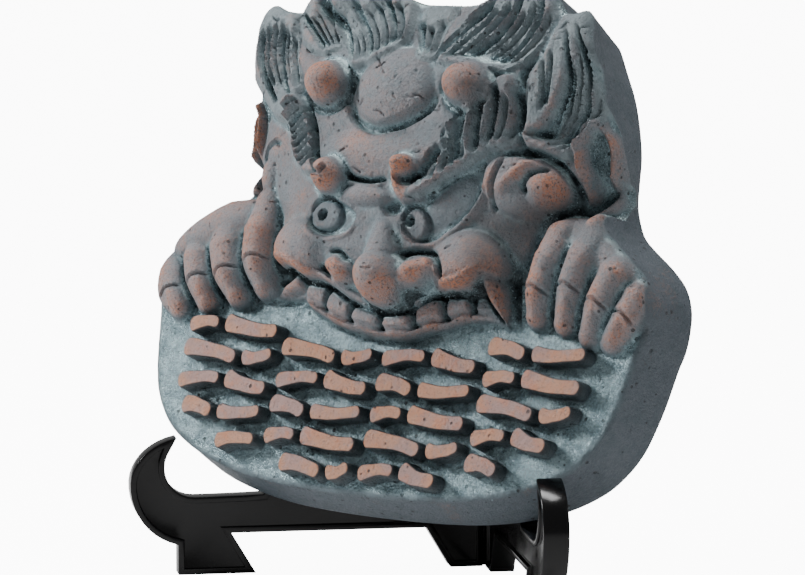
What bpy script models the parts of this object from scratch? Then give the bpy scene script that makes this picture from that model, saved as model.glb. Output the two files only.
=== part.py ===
"""Roof end tile, a demon's head over a board held in two hands, standing on a folding plate stand.

Metres, +Z up, the tile faces -Y. The tile's front is a carved relief: a height above the board, worked out
for every point of the face from rounded masses, locks of hair, fingers and cut lines. Its places and heights
are drawn on a carving grid whose unit is a share of the tile's width, so they follow the tile's own size.
The stand's leaves are flat outlines with their thickness, joined at the back by the barrels of a hinge.
"""
import math

import bmesh
import bpy
import numpy as np
from mathutils import Vector
from mathutils.geometry import delaunay_2d_cdt

# Tile
TILE_WIDTH = 0.214
TILE_HEIGHT = 0.186
SLAB_THICKNESS = 0.022
RELIEF_HEIGHT = 0.032
STROKE_HEIGHT = 0.0068
STROKE_ROOT = 0.0030
BOARD_EDGE_ROUND = 0.0010
HEAD_EDGE_ROUND = 0.0036

# Stand
LEAN_DEG = 20.0
HALF_SPREAD_DEG = 44.0
LEAF_THICKNESS = 0.0090
RIM_WIDTH = 0.0022
WEB_RECESS = 0.0014
SEAT_DEPTH = 0.0868
SEAT_HEIGHT = 0.0290
ARM_HEIGHT = 0.0285
ARM_CLEARANCE = 0.0150
HOOK_INNER_RADIUS = 0.0110
HOOK_WALL = 0.0125
HOOK_OUTER_RADIUS = 0.0224
HOOK_BELLY_HEIGHT = 0.0330
HOOK_BELLY_DROP = 0.0225
HOOK_TIP_HEIGHT = 0.0510
HOOK_TIP_DEG = 25.0
HOOK_OVERHANG = 0.0170
FOOT_FRONT_OFFSET = 0.0050
FRONT_FOOT_LENGTH = 0.0285
REAR_FOOT_LENGTH = 0.0120
FOOT_FLARE = 0.0090
UPRIGHT_HEIGHT = 0.1250
UPRIGHT_TIP_WIDTH = 0.0140
HINGE_HEIGHT = 0.0660
BARREL_RADIUS = 0.0050
BARREL_COUNT = 3
BARREL_SEGMENTS = 20
BRIDGE_THICKNESS = 0.0045
TOUCH_GAP = 0.0003
SEAT_GAP = 0.0006
HINGE_GAP = 0.0004

# Mesh fineness
FACE_SPACING = 1.45
OUTLINE_SAMPLES = 300
TILE_TRIANGLES = 5700
ARC_STEPS = 10
SHARP_DEG = 40.0

# The carving grid: its width, and the rows of the tile's foot and top
GRID_WIDTH = 214.0
GRID_FOOT = 38.8
GRID_TOP = 225.0
GRID_RELIEF = 32.0
GRID_SLAB = SLAB_THICKNESS / RELIEF_HEIGHT * GRID_RELIEF

# The inscription's place: four groups of dabs, their middles on the grid and the room each takes
STROKE_GROUPS = ((-64.5, 73.5), (-20.0, 66.5), (24.5, 67.5), (69.0, 73.5))
STROKE_ROWS = 5
STROKE_PITCH = 10.4
GROUP_HALF_WIDTH = 21.6
SPLIT_FROM = 30.0
BOARD_MARGIN = 8.5
DAB_CUTS = (0.38, 0.62, 0.50, 0.42)
DAB_SLANTS = (0.8, -1.0, 1.1, -0.7)
DAB_BROAD = 7.1
DAB_SLIM = 6.0
DAB_TAPER = 0.76
DAB_BOW = 0.7
DAB_HEAD_ROOM = 3.5
DAB_TAIL_ROOM = 3.3

# Outline of the tile: column and row of the face's edge, then how far the slab's back edge lies from it.
# The board's half runs from the foot up to the head's side; the hair's tufts lean out over the slab's back.
HALF_FOOT = [
    (0, 38.8, 0, -4.2), (22, 39.2, 0, -4.2), (42, 40.6, 0.3, -4.2), (60, 43.8, 1.0, -4.1),
    (75, 48.5, 2.0, -3.8), (87, 55, 3.2, -2.9), (94, 62, 4.0, -2.0), (98.4, 69, 4.3, -1.2),
    (100.8, 76, 4.4, -0.8), (102.8, 84, 4.5, -0.5), (104, 91, 4.6, -0.3), (105.2, 98, 4.6, 0),
    (106.6, 104, 4.6, 0.2), (107, 111, 4.4, 0.6), (106.2, 118, 4.0, 1.4), (103, 124.5, 3.4, 2.4),
    (97, 130, 2.6, 3.2), (90, 135.2, 2.0, 3.4), (84, 141, 2.0, 2.4), (81.8, 148, 0.6, 1.2),
    (81.4, 155, -1.4, 0.5), (81.2, 163, -2.4, 0.3)]
RIGHT_TOP = [
    (79.8, 173, -2.4, 0), (76.6, 184, -2.6, 0), (73.4, 194, -3.6, 0), (70.4, 204, -5.8, -1),
    (66.4, 215.4, -7.6, -3.0), (60, 214.2, -4.6, -1.8), (54, 216.4, -3.0, -2.4), (48, 223.4, -2.0, -3.2),
    (41, 225, -0.6, -2.6), (32, 221, 0.4, -1.6), (20, 217.6, 0, -0.6), (6, 216.4, 0, 0), (-8, 217.2, 0, 0)]
LEFT_TOP = [
    (-20, 221.5, -0.4, -1.6), (-32, 224.6, 0, -2.4), (-44, 225, 0.8, -2.6), (-55, 222.6, 2.4, -2.4),
    (-60, 212.6, 2.6, -1.4), (-66, 212.2, 4.0, -1.8), (-73, 214.6, 6.8, -3.2), (-77.6, 211, 7.6, -2.2),
    (-78.8, 203, 5.8, -1.0), (-77.2, 193.5, 2.6, 0), (-74.6, 185.5, 1.0, 0), (-75.8, 178.5, 1.4, 0),
    (-79.6, 171, 2.2, 0)]

# Tufts of hair: the raised bed, the lines the partings run between, their number, the bed's rise, the
# partings' depth and the width of the bed's shoulder
TUFTS = [
    (((-26, 189), (-15, 190), (-4, 198), (-4, 212), (-12, 222), (-36, 229), (-56, 224), (-42, 211),
          (-32, 200)),
         (((-24.5, 190.5), (-28.5, 197), (-36, 205), (-47, 213), (-53, 219)),
          ((-16, 192.5), (-19, 201), (-26.5, 209.5), (-36, 219)),
          ((-7.5, 198.5), (-7.5, 205.5), (-12.5, 213), (-16.5, 219))), 8, 3.4, 3.6),
    (((-45, 194), (-36, 195), (-31, 200), (-38, 209), (-52, 221), (-60, 222), (-59, 208), (-53, 199)),
         (((-40, 196), (-48, 203), (-57, 211)), ((-32, 198), (-40, 207), (-52, 218))), 5, 2.0, 3.0),
    (((3, 194), (10, 193), (11, 204), (12, 216), (-2, 216), (-1, 205)),
         (((4, 195), (1.5, 202), (-1, 209)), ((8.5, 195), (8.5, 203), (9, 211))), 3, 1.6, 2.4),
    (((11, 192), (22, 190), (36, 189), (47, 193), (52.5, 203), (54, 214), (48, 228), (34, 226), (22, 219),
          (16, 208), (11, 200)),
         (((11.5, 192.5), (13.5, 199.5), (19.5, 206.5), (26, 214), (27.5, 220)),
          ((23, 194), (33, 200), (40, 209), (40, 222)),
          ((35.5, 191.5), (44.5, 195.5), (50, 204), (51.5, 213), (48, 222))), 8, 3.8, 3.8),
    (((50.5, 167), (59, 162.5), (69, 164), (76, 176), (78, 190), (74, 206), (68, 219), (57, 216),
          (53.5, 200), (50.5, 188), (51, 175)),
         (((52, 169), (59, 171.5), (64, 181.5), (65.5, 191.5), (60.5, 209)),
          ((62.5, 164), (70, 171), (74.6, 181), (74.6, 191), (70, 202), (65, 211))), 5, 4.0, 4.2),
    (((-45, 174), (-47, 184), (-53, 194), (-55, 204), (-59, 212), (-72, 219), (-84, 206), (-80, 190),
          (-72, 180), (-60, 170), (-51, 168)),
         (((-75, 206.5), (-72, 194), (-65.5, 184), (-57.5, 175.5)),
          ((-66, 209), (-64, 197), (-59.5, 187), (-51.5, 178)),
          ((-58, 204), (-55.5, 194), (-51, 186), (-47, 179))), 6, 4.4, 3.6),
    (((12, 142), (20, 144.5), (27, 151), (34, 156.5), (40, 161.5), (46, 164), (50.5, 169), (50, 180),
          (46.5, 189), (41, 189.5), (35, 184), (27, 177), (21.5, 171), (18, 162), (15, 155), (12.5, 148)),
         (((16.5, 146), (16, 151.5), (17, 157), (18.5, 161)),
          ((25, 151), (24, 157.5), (22, 164.5), (22.5, 172)),
          ((31, 156), (29, 164.5), (28.5, 173), (31, 179.5)),
          ((39, 162), (40.5, 171.5), (41, 179), (39.5, 186)),
          ((45.5, 165), (48.5, 172), (48, 180), (44.5, 187.5))), 9, 5.0, 4.4, 2.2),
    (((-30.5, 150), (-33.8, 154.5), (-35.6, 160), (-37.5, 166), (-41, 172), (-45.5, 178), (-52, 177),
          (-53, 171), (-49.5, 164), (-46.5, 158), (-43, 153), (-37, 149.5)),
         (((-41.5, 151.5), (-37.5, 155), (-34.8, 159)), ((-47, 161.5), (-43, 166), (-38.5, 170.5)),
          ((-53, 171), (-49, 174.5), (-45.5, 178))), 9, 4.0, 2.6, 1.4),
]

# Fingers: the line from knuckle to tip, half-widths and heights along it
FINGERS = [
    (((68.5, 136), (67.5, 127), (65.6, 116), (64.6, 108)), (7.0, 7.4, 7.0, 5.6), (10, 13.5, 12.5, 7)),
    (((82.5, 139), (80.6, 129), (78, 118), (76.4, 106.5)), (7.2, 7.6, 7.0, 5.6), (8, 12.5, 11.5, 6.5)),
    (((96, 134), (94, 125), (90, 113.5), (87, 102.8)), (6.8, 7.4, 7.0, 5.4), (5, 11, 10.5, 5.5)),
    (((104.5, 127), (103.5, 118.5), (100.6, 110), (96, 101.5)), (5.6, 6.6, 6.6, 5.4), (1, 7.5, 8, 5)),
    (((-61, 141), (-59.6, 130), (-58.6, 119), (-55.2, 111)), (7.6, 8.4, 8.0, 6.4), (9, 15, 14, 9)),
    (((-78, 135), (-75.8, 124), (-72, 114), (-67.6, 107)), (7.4, 8.0, 7.6, 6.0), (7, 12.5, 12.5, 8)),
    (((-90, 130), (-88.8, 120), (-85.8, 111), (-81.6, 103.6)), (6.6, 7.4, 7.0, 5.6), (4, 10, 10, 6.5)),
    (((-102, 123.5), (-102.6, 114), (-100, 106), (-94.5, 100.6)), (5.0, 6.2, 6.4, 5.4), (0, 5, 6, 5)),
]

# Edges of the eyes, the upper lip and the gum, and the gaps between the teeth
EYE_RIGHT = [
    (10, 142), (17, 145), (25, 150.5), (33, 155.5), (38.5, 159), (40.2, 152.5), (38.6, 144.5), (35, 138.5),
    (30.5, 133.5), (25, 129), (19.5, 127.3), (14.5, 128.3), (9.6, 132), (8.6, 138)]
EYE_LEFT = [
    (-34, 134), (-32.6, 140), (-27, 142.2), (-20.5, 141), (-14.5, 138.6), (-11, 135.4), (-14.2, 129.8),
    (-21, 127.8), (-28, 128.3), (-32.4, 130.4)]
LIP_EDGE = [
    (-52, 118), (-40, 116.5), (-32, 113), (-25.5, 112.5), (-20, 110.5), (-12, 106.5), (-2.5, 104),
    (6, 103.5), (13, 105), (18.5, 108.5), (23.5, 111), (30, 112), (38.5, 113.5), (45, 119)]
GUM_EDGE = [
    (-54, 106.6), (-36.5, 107), (-32, 104.5), (-21, 100), (-10.5, 97.5), (1, 96), (11.5, 96.5), (20, 99.5),
    (29, 102), (37.5, 105), (46.5, 105), (57, 103)]
TOOTH_EDGES = (-35, -24.7, -12.2, 1.5, 15, 26.8, 37.4)


def smooth_step(low, high, value):
    """0 below low, 1 above high, smooth between."""
    share = np.clip((value - low) / (high - low), 0.0, 1.0)
    return share * share * (3.0 - 2.0 * share)


def smooth_max(a, b, blend):
    """The larger of two heights, with a fillet of about the blend where they meet."""
    share = np.clip(0.5 + 0.5 * (a - b) / blend, 0.0, 1.0)
    return b + (a - b) * share + blend * share * (1.0 - share) * 0.5


def spline(points, steps=8, closed=False):
    """Catmull-Rom curve through the points, as an array with steps points for each span."""
    points = np.asarray(points, float)
    count = len(points)
    spans = count if closed else count - 1
    ends = [points[0] * 2 - points[1], points[-1] * 2 - points[-2]]
    out = []
    for i in range(spans):
        if closed:
            p0, p1, p2, p3 = (points[(i + k - 1) % count] for k in range(4))
        else:
            p0 = points[i - 1] if i else ends[0]
            p1, p2 = points[i], points[i + 1]
            p3 = points[i + 2] if i + 2 < count else ends[1]
        for k in range(steps):
            s = k / steps
            bend = (2 * p0 - 5 * p1 + 4 * p2 - p3) * s * s
            twist = (3 * p1 - p0 - 3 * p2 + p3) * s ** 3
            out.append(0.5 * (2 * p1 + (p2 - p0) * s + bend + twist))
    if not closed:
        out.append(points[-1])
    return np.array(out)


def ring_points(centre, radii, start_deg, end_deg, count=10):
    """Points on an oval from one angle to another."""
    return [(centre[0] + radii[0] * math.cos(a), centre[1] + radii[1] * math.sin(a))
            for a in np.radians(np.linspace(start_deg, end_deg, count))]


def edge_distance(columns, rows, outline):
    """How far each point lies from the outline."""
    best = np.full(len(columns), 1e9)
    for start, end in zip(outline, np.roll(outline, -1, axis=0)):
        run = end - start
        dx, dv = columns - start[0], rows - start[1]
        along = np.clip((dx * run[0] + dv * run[1]) / (run @ run), 0.0, 1.0)
        best = np.minimum(best, np.hypot(dx - along * run[0], dv - along * run[1]))
    return best


def inside(columns, rows, outline):
    """Which points lie inside the outline."""
    result = np.zeros(len(columns), bool)
    for (x1, v1), (x2, v2) in zip(outline, np.roll(outline, -1, axis=0)):
        if v1 == v2:
            continue
        crosses = (rows < v1) != (rows < v2)
        result ^= crosses & (columns < x1 + (rows - v1) * (x2 - x1) / (v2 - v1))
    return result


class Face:
    """The grid points of the face and the height of the clay over each."""

    def __init__(self, columns, rows):
        self.x = np.asarray(columns, float)
        self.v = np.asarray(rows, float)
        self.height = np.zeros_like(self.x)

    def near(self, centre, reach):
        """Indices of the points within reach of a place."""
        return np.nonzero(np.hypot(self.x - centre[0], self.v - centre[1]) < reach)[0]

    def along(self, points, widths):
        """For the points near a curve: indices, share of its length, signed side distance over the width."""
        curve = spline(points)
        widths = np.interp(np.linspace(0, 1, len(curve)), np.linspace(0, 1, len(widths)), widths)
        middle = (curve.min(0) + curve.max(0)) / 2
        reach = np.hypot(*(curve.max(0) - curve.min(0))) / 2 + widths.max() + 1.0
        pick = self.near(middle, reach)
        px, pv = self.x[pick], self.v[pick]
        best = np.full(len(pick), 1e9)
        share = np.zeros(len(pick))
        side = np.zeros(len(pick))
        steps = len(curve) - 1
        for i in range(steps):
            start, run = curve[i], curve[i + 1] - curve[i]
            length = np.hypot(*run)
            dx, dv = px - start[0], pv - start[1]
            along = np.clip((dx * run[0] + dv * run[1]) / length ** 2, 0.0, 1.0)
            away = np.hypot(dx - along * run[0], dv - along * run[1])
            closer = away < best
            best[closer] = away[closer]
            share[closer] = ((i + along) / steps)[closer]
            turn = (run[0] * dv - run[1] * dx) / length
            side[closer] = np.sign(turn[closer]) * away[closer]
        width = np.interp(share, np.linspace(0, 1, len(widths)), widths)
        return pick, share, side / width

    def dome(self, centre, radii, top, turn=0.0, foot=None, power=0.5, blend=1.5):
        """Raise a rounded mass to an absolute top height; foot is where its skirt would start."""
        reach = max(radii) * 1.02
        pick = self.near(centre, reach)
        c, s = math.cos(math.radians(turn)), math.sin(math.radians(turn))
        dx, dv = self.x[pick] - centre[0], self.v[pick] - centre[1]
        r2 = ((dx * c + dv * s) / radii[0]) ** 2 + ((dv * c - dx * s) / radii[1]) ** 2
        within = r2 < 1.0
        pick, r2 = pick[within], r2[within]
        foot = top - 12.0 if foot is None else foot
        value = foot + (top - foot) * (1.0 - r2) ** power
        self.height[pick] = np.maximum(smooth_max(value, self.height[pick], blend), self.height[pick])

    def lift(self, centre, radii, rise, turn=0.0, power=1.0):
        """Raise (or lower) the clay under an oval by up to rise, fading out at its edge."""
        pick = self.near(centre, max(radii) * 1.02)
        c, s = math.cos(math.radians(turn)), math.sin(math.radians(turn))
        dx, dv = self.x[pick] - centre[0], self.v[pick] - centre[1]
        r2 = ((dx * c + dv * s) / radii[0]) ** 2 + ((dv * c - dx * s) / radii[1]) ** 2
        self.height[pick] += rise * np.clip(1.0 - r2, 0.0, 1.0) ** power

    def rope(self, points, widths, tops, blend=1.0, foot=-6.0, power=0.5):
        """A rounded ridge along a curve, to absolute top heights."""
        pick, share, q = self.along(points, widths)
        within = np.abs(q) < 1.0
        pick, share, q = pick[within], share[within], q[within]
        top = np.interp(share, np.linspace(0, 1, len(tops)), tops)
        value = foot + (top - foot) * (1.0 - q * q) ** power
        self.height[pick] = np.maximum(smooth_max(value, self.height[pick], blend), self.height[pick])

    def bead(self, points, widths, rise, power=1.0):
        """Raise (or cut) a line by rise, with round sides, fading out at both its ends."""
        pick, share, q = self.along(points, widths)
        profile = np.clip(1.0 - q * q, 0.0, 1.0) ** power
        ends = np.clip(np.minimum(share, 1.0 - share) * 6.0, 0.0, 1.0)
        self.height[pick] += rise * profile * ends

    def lip(self, points, cut, rim, width=1.0):
        """Cut a groove and push up a bead of clay along the left of the line's run."""
        pick, share, q = self.along(points, [width * 3.0])
        ends = np.clip(np.minimum(share, 1.0 - share) * 8.0, 0.0, 1.0)
        away = q * 3.0
        groove = np.exp(-(away / 0.8) ** 2)
        ridge = np.exp(-((away - 1.6) / 0.7) ** 2)
        self.height[pick] += (rim * ridge - cut * groove) * ends

    def plateau(self, edge, rise, shoulder):
        """Raise, or sink, everything inside a smooth closed line, with a shoulder along it."""
        line = spline(edge, 5, closed=True)
        low, high = line.min(0), line.max(0)
        box = (self.x > low[0]) & (self.x < high[0]) & (self.v > low[1]) & (self.v < high[1])
        pick = np.nonzero(box)[0]
        pick = pick[inside(self.x[pick], self.v[pick], line)]
        away = edge_distance(self.x[pick], self.v[pick], line)
        self.height[pick] += rise * smooth_step(-0.1 * shoulder, shoulder, away)

    def tuft(self, bed, guides, partings, rise, depth, shoulder=3.0):
        """Raise a tuft's bed and part it into rounded strands along its guides."""
        self.plateau(bed, rise, shoulder)
        shares = np.linspace(0.0, 1.0, 12)
        lines = []
        for guide in guides:
            curve = spline(guide)
            steps = np.linspace(0.0, 1.0, len(curve))
            lines.append(np.stack([np.interp(shares, steps, curve[:, k]) for k in range(2)], 1))
        spans = len(lines) - 1
        family = []
        for k in range(partings):
            at = k / (partings - 1) * spans
            left = min(int(at), spans - 1)
            family.append(lines[left] + (lines[left + 1] - lines[left]) * (at - left))
        for k, line in enumerate(family):
            other = family[k + 1] if k + 1 < len(family) else family[k - 1]
            pitch = np.hypot(*(other - line).T)
            widths = np.clip(pitch * 0.52, 0.8, 2.8)
            uneven = 1.0 + 0.28 * math.sin(k * 2.4 + 0.6)
            parting = line[: len(line) - (k * 5) % 3].tolist()
            self.bead(parting, widths.tolist(), -depth * uneven, 0.8)
            self.bead(parting, (widths * 0.4).tolist(), -depth * 0.35, 0.8)


def head_mass(face):
    """Lay down the head's rounded body: full in the middle and falling away past the ears."""
    rows = [96, 104, 112, 124, 136, 150, 160, 170, 180, 190, 206, 226]
    crown = np.interp(face.v, rows, [0, 4, 12, 17, 18, 19, 19, 20, 20, 20, 17, 10])
    half_width = np.interp(face.v, rows, [44, 48, 51, 54, 59, 72, 82, 83, 84, 85, 88, 90])
    ground = GRID_SLAB / 22.0 * np.interp(face.v, [130, 145, 155, 172, 186, 226], [0, -7, -15, -15, -2, 1])
    power = np.interp(face.v, [132, 156], [0.62, 0.50])
    q = np.clip(np.abs(face.x) / half_width, 0.0, 1.0)
    face.height = ground + (crown - ground) * (1.0 - q ** 2.6) ** power


def forehead(face):
    """Shape the ball of the forehead in its ring, the band under it and the roll over the nose."""
    face.dome((-6, 159), (28, 11), 22.5, foot=15, blend=3)
    face.dome((-4, 182.5), (17.4, 16), 26.0, foot=17, blend=2)
    face.bead([(-24.5, 179), (-22.5, 175.5), (-19.5, 171.4), (-14, 168.4), (-7.5, 167), (0.5, 169.2),
               (6, 171.8), (11.5, 175.5), (13.6, 179), (14, 183)], [2.4], -2.8)
    face.lip([(-23.5, 175), (-20, 170.4), (-14.5, 167.2), (-7.5, 165.8), (0.7, 168), (6.4, 170.6),
              (12.3, 174.6), (14.6, 179)], 0.9, 0.9, 1.2)
    face.dome((-8, 143), (13.4, 5.4), 22.0, foot=12, power=0.45, blend=1.0)
    face.lip([(0, 149.4), (-5, 148.4), (-9, 148.2), (-15.5, 149), (-19.5, 151.6)], 3.2, 1.2)
    face.lift((4.2, 139.4), (5.4, 3.6), -3.4)


def horns(face):
    """Raise two short blunt horns."""
    for centre, radii in (((-33.4, 183), (10, 9.6)), ((27.8, 184.8), (11.4, 9.6))):
        face.dome(centre, radii, 31.5, foot=13, power=0.5, blend=1.0)
        face.bead(ring_points(centre, (radii[0] + 0.6, radii[1] + 0.6), 150, 390), [1.4], -1.2)


def nose(face):
    """Shape the bridge, the ball and the two nostrils with their grooves."""
    face.rope([(-1, 137), (1.6, 130), (3.6, 122)], [5.4, 7.4, 9], [17.5, 21, 25], blend=2.0, foot=8)
    face.dome((4.4, 114.8), (10.6, 10.8), 28.5, foot=11, power=0.5, blend=1.6)
    face.rope([(11, 113.4), (17.4, 117), (23.6, 119.6)], [4.4, 5.6, 4.6], [20, 22.5, 20], blend=0.8, foot=9)
    face.dome((-15.6, 116.4), (7.6, 5.2), 20.4, turn=-22, foot=9, power=0.45, blend=0.8)
    face.lip([(30.4, 114.6), (29.4, 119), (26, 123), (20.5, 124.6), (14.6, 123.8), (9.6, 120.8)], 4.4, 1.5,
             1.25)
    face.bead([(31, 116), (27, 113.4), (20, 111), (14, 108.6), (6, 106.2), (-1.5, 106.8)], [2.3], -3.2)
    face.lip([(-12.4, 118), (-16, 122.4), (-21.4, 122.8)], 2.6, 0.8)
    face.bead([(-26, 117.4), (-21, 114.8), (-16, 112.4)], [1.3], -2.8)


def mouth(face):
    """Cut the upper lip, the row of teeth, the gum under them and a fang at each corner."""
    upper, lower = spline(LIP_EDGE), spline(GUM_EDGE)
    top = np.interp(face.x, upper[:, 0], upper[:, 1])
    foot = np.interp(face.x, lower[:, 0], lower[:, 1])
    across = smooth_step(-58, -50, face.x) * (1 - smooth_step(50, 58, face.x))
    below = 1 - smooth_step(-3.4, 0.1, face.v - foot)
    opened = smooth_step(-0.5, 0.5, top - face.v) * (1 - below) * across
    gum_height = 2.4 + 4.6 * np.clip(1 - ((face.x - 2) / 50) ** 2, 0, 1)
    board = below * smooth_step(-72, -54, face.x) * (1 - smooth_step(54, 72, face.x))
    face.height = face.height * (1 - opened) + gum_height * opened
    face.height = np.where(face.v < 112, face.height * (1 - board), face.height)
    for left, right in zip(TOOTH_EDGES, TOOTH_EDGES[1:]):
        middle = (left + right) / 2
        high = float(np.interp(middle, upper[:, 0], upper[:, 1]))
        low = float(np.interp(middle, lower[:, 0], lower[:, 1]))
        fall = np.interp(right, lower[:, 0], lower[:, 1]) - np.interp(left, lower[:, 0], lower[:, 1])
        rise = 5.4 + 4.0 * max(0.0, 1 - ((middle - 2) / 46) ** 2)
        face.dome((middle, (high + low) / 2 + 0.4), ((right - left) * 0.56, (high - low) * 0.62), rise,
                  turn=math.degrees(math.atan2(fall, right - left)), foot=2.0, power=0.2, blend=0.3)
    for gap, slope in zip(TOOTH_EDGES[1:], (-0.3, -0.4, 0.0, 0.0, 0.4, 0.4)):
        high = float(np.interp(gap, upper[:, 0], upper[:, 1]))
        low = float(np.interp(gap, lower[:, 0], lower[:, 1]))
        face.bead([(gap, high), (gap + slope, (high + low) / 2), (gap + 2 * slope, low + 1.4)], [1.3], -3.0)
    face.bead([(x, v + 1.7) for x, v in GUM_EDGE[1:-1]], [1.2], -2.0)
    face.bead([(x, v + 1.6) for x, v in LIP_EDGE], [2.0], 2.2)
    face.bead([(x, v - 0.6) for x, v in LIP_EDGE], [1.1], -2.4)
    face.rope([(45.4, 119), (48.6, 111.6), (52.4, 103.4)], [5.8, 4.2, 0.8], [13, 10.5, 3], blend=0.4,
              foot=-1, power=0.7)
    face.rope([(-38.5, 112), (-44, 109.4), (-50.6, 106.2)], [4.8, 3.4, 0.7], [9, 7, 1.5], blend=0.4, foot=-1,
              power=0.8)
    face.bead([(40.5, 116), (46, 109), (52, 103.6)], [0.9], -2.0)
    face.bead([(52, 121), (53.6, 113), (55, 104)], [1.3], -2.8)
    face.bead([(-41.5, 118), (-46, 113.6), (-50.6, 111)], [1.2], -2.8)
    face.bead([(-35, 106.8), (-42, 105.4), (-51.5, 105.2)], [0.9], -1.4)


def cheeks(face):
    """Fill the cheeks, fold the skin beside the eye and knot the muscle before the ears."""
    face.dome((35.5, 122.5), (15.5, 14), 20.0, foot=8, blend=3.5)
    face.dome((-35.5, 124), (14.5, 13), 19.0, foot=8, blend=3.5)
    face.lip([(44.6, 141), (43.8, 148.5), (44.4, 154), (46.4, 160.5)], 2.2, 0.6)
    face.bead([(31, 112.6), (33.6, 116.4), (38.6, 117.6)], [1.1], -0.9)
    face.lift((52.5, 151), (14, 10.5), 4.4, turn=-16, power=0.5)
    face.dome((58.4, 152.6), (9.4, 9.4), 15.0, foot=3, power=0.42, blend=0.8)
    face.bead([(44.6, 160.4), (50, 162.8), (58, 163.4), (65, 160), (69, 153.4), (68, 146)], [1.8], -3.8)
    face.bead([(63.6, 157.6), (59, 156.6), (55, 152.4), (56.4, 148)], [1.3], -2.8)
    face.bead([(45.6, 147), (51, 153.6), (56.4, 159.4), (61, 159.2)], [2.4], 2.0)
    face.dome((-61.5, 152), (6.4, 9.4), 9.4, foot=0, power=0.42, blend=1.2)
    face.bead([(-56, 161), (-59.6, 163), (-65, 160.6), (-68, 154)], [1.4], -2.2)


def eyes(face):
    """Sink the eyes in crisp lids and set ringed irises with drilled pupils in them."""
    face.lift((26, 143), (17, 12), 1.6, turn=42, power=0.7)
    face.plateau(EYE_RIGHT, -2.6, 1.3)
    face.plateau(EYE_LEFT, -2.4, 1.2)
    rim = [(40.4, 157), (40.8, 151), (39, 144), (35.4, 137.8), (31, 132.8), (25.2, 128.2), (19.5, 126.5),
           (14, 127.6), (9, 131)]
    face.bead(rim, [1.1], 1.0)
    face.bead([(-34.4, 131), (-28, 127.2), (-21, 126.8), (-13.6, 129), (-10.4, 134)], [1.1], 1.0)
    face.lift((28, 143.5), (11, 8), 1.4, turn=46, power=0.8)
    for centre, radii, pupil in (((14.8, 133.6), (5.6, 5.9), (12.4, 135)), ((-26, 135.4), (7.4, 5.6),
                                                                            (-27.6, 135.6))):
        face.lift(centre, (radii[0] + 1.4, radii[1] + 1.4), -0.9, power=0.6)
        face.lift(centre, radii, 3.6, power=0.3)
        face.lift(centre, (radii[0] * 0.7, radii[1] * 0.7), -0.7, power=0.5)
        face.lift(pupil, (2.3, 2.1), -4.2, power=0.5)


def curls(face):
    """Wind each brow's inner end into a curl."""
    face.dome((-24.8, 149.4), (7.6, 7.6), 28.5, foot=14, power=0.46, blend=0.8)
    face.bead([(-33, 154), (-30.4, 150.4), (-26.8, 148.4), (-24, 149), (-22.6, 152)], [1.3], -3.8, power=0.6)
    face.rope([(7.2, 154), (6.6, 149), (9.6, 144.6), (15.5, 145)], [4.6, 3.8, 4.4, 4.6],
              [27.5, 25, 23.5, 22], blend=1.0, foot=13)
    face.dome((7.6, 154), (5.2, 4.8), 28.5, foot=14, power=0.46, blend=0.6)
    face.bead([(6.6, 150.6), (9, 147.8), (11.6, 149), (13.2, 152.4)], [1.1], -3.8, power=0.6)


def hair(face):
    """Raise the tufts and the brows, and part the tufts from each other."""
    for tuft in TUFTS:
        face.tuft(*tuft)
    face.bead([(58, 161.5), (51.4, 163.5), (49.8, 172), (47.8, 184), (48, 191), (51, 198.5)], [1.8], -3.0)
    for crack in ([(57.6, 177), (57.4, 187), (54.4, 198)], [(59, 179), (59.6, 188.5), (57.6, 199.5)]):
        face.bead(crack, [1.0], -3.2)
    face.lip([(-45, 178), (-40.4, 171.8), (-37, 166), (-34.8, 158.5), (-32.6, 152.6)], 1.6, 0.4)


def ears(face):
    """Cut an ear on each side of the head, a rim round a hollow."""
    for side in (1, -1):
        face.lift((side * 75.2, 163), (4.6, 12), -5.0, power=0.7)
        face.bead([(side * 76.4, 178.4), (side * 72.8, 175), (side * 71, 169.4), (side * 70.8, 163.5),
                   (side * 72.6, 156.6)], [2.1], 4.6)
        face.bead([(side * 75, 177), (side * 78.4, 172), (side * 79.2, 164.6), (side * 79.4, 157),
                   (side * 78.4, 150.4), (side * 75.4, 146.4), (side * 71.6, 147.6)], [2.2], 5.4)


def hands(face):
    """Raise the hands' backs and four fingers of each, gripping down over the board's upper edge."""
    face.dome((83, 130), (27, 13), 8.5, turn=-20, foot=-4, power=0.5, blend=3)
    face.dome((-82, 130), (26, 12), 9.0, turn=20, foot=-4, power=0.5, blend=3)
    for line, widths, tops in FINGERS:
        face.rope(line, widths, tops, blend=0.9, foot=0.5, power=0.5)
    for line, widths, _ in FINGERS:
        curve = spline(line)
        at = int(len(curve) * 0.66)
        place, ahead = curve[at], curve[at + 1]
        run = (ahead - place) / np.hypot(*(ahead - place))
        side = np.array([-run[1], run[0]])
        reach = widths[2] * 0.8
        joint = [place - side * reach + run * 1.2, place - run * 0.6, place + side * reach + run * 1.2]
        face.bead([tuple(p) for p in joint], [0.8], -1.7)
        tip = curve[-1] - run * 2.4
        turn = math.degrees(math.atan2(run[1], run[0])) + 90
        face.lift(tip, (widths[3] * 0.7, widths[3] * 1.1), 1.4, turn=turn)


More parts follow.
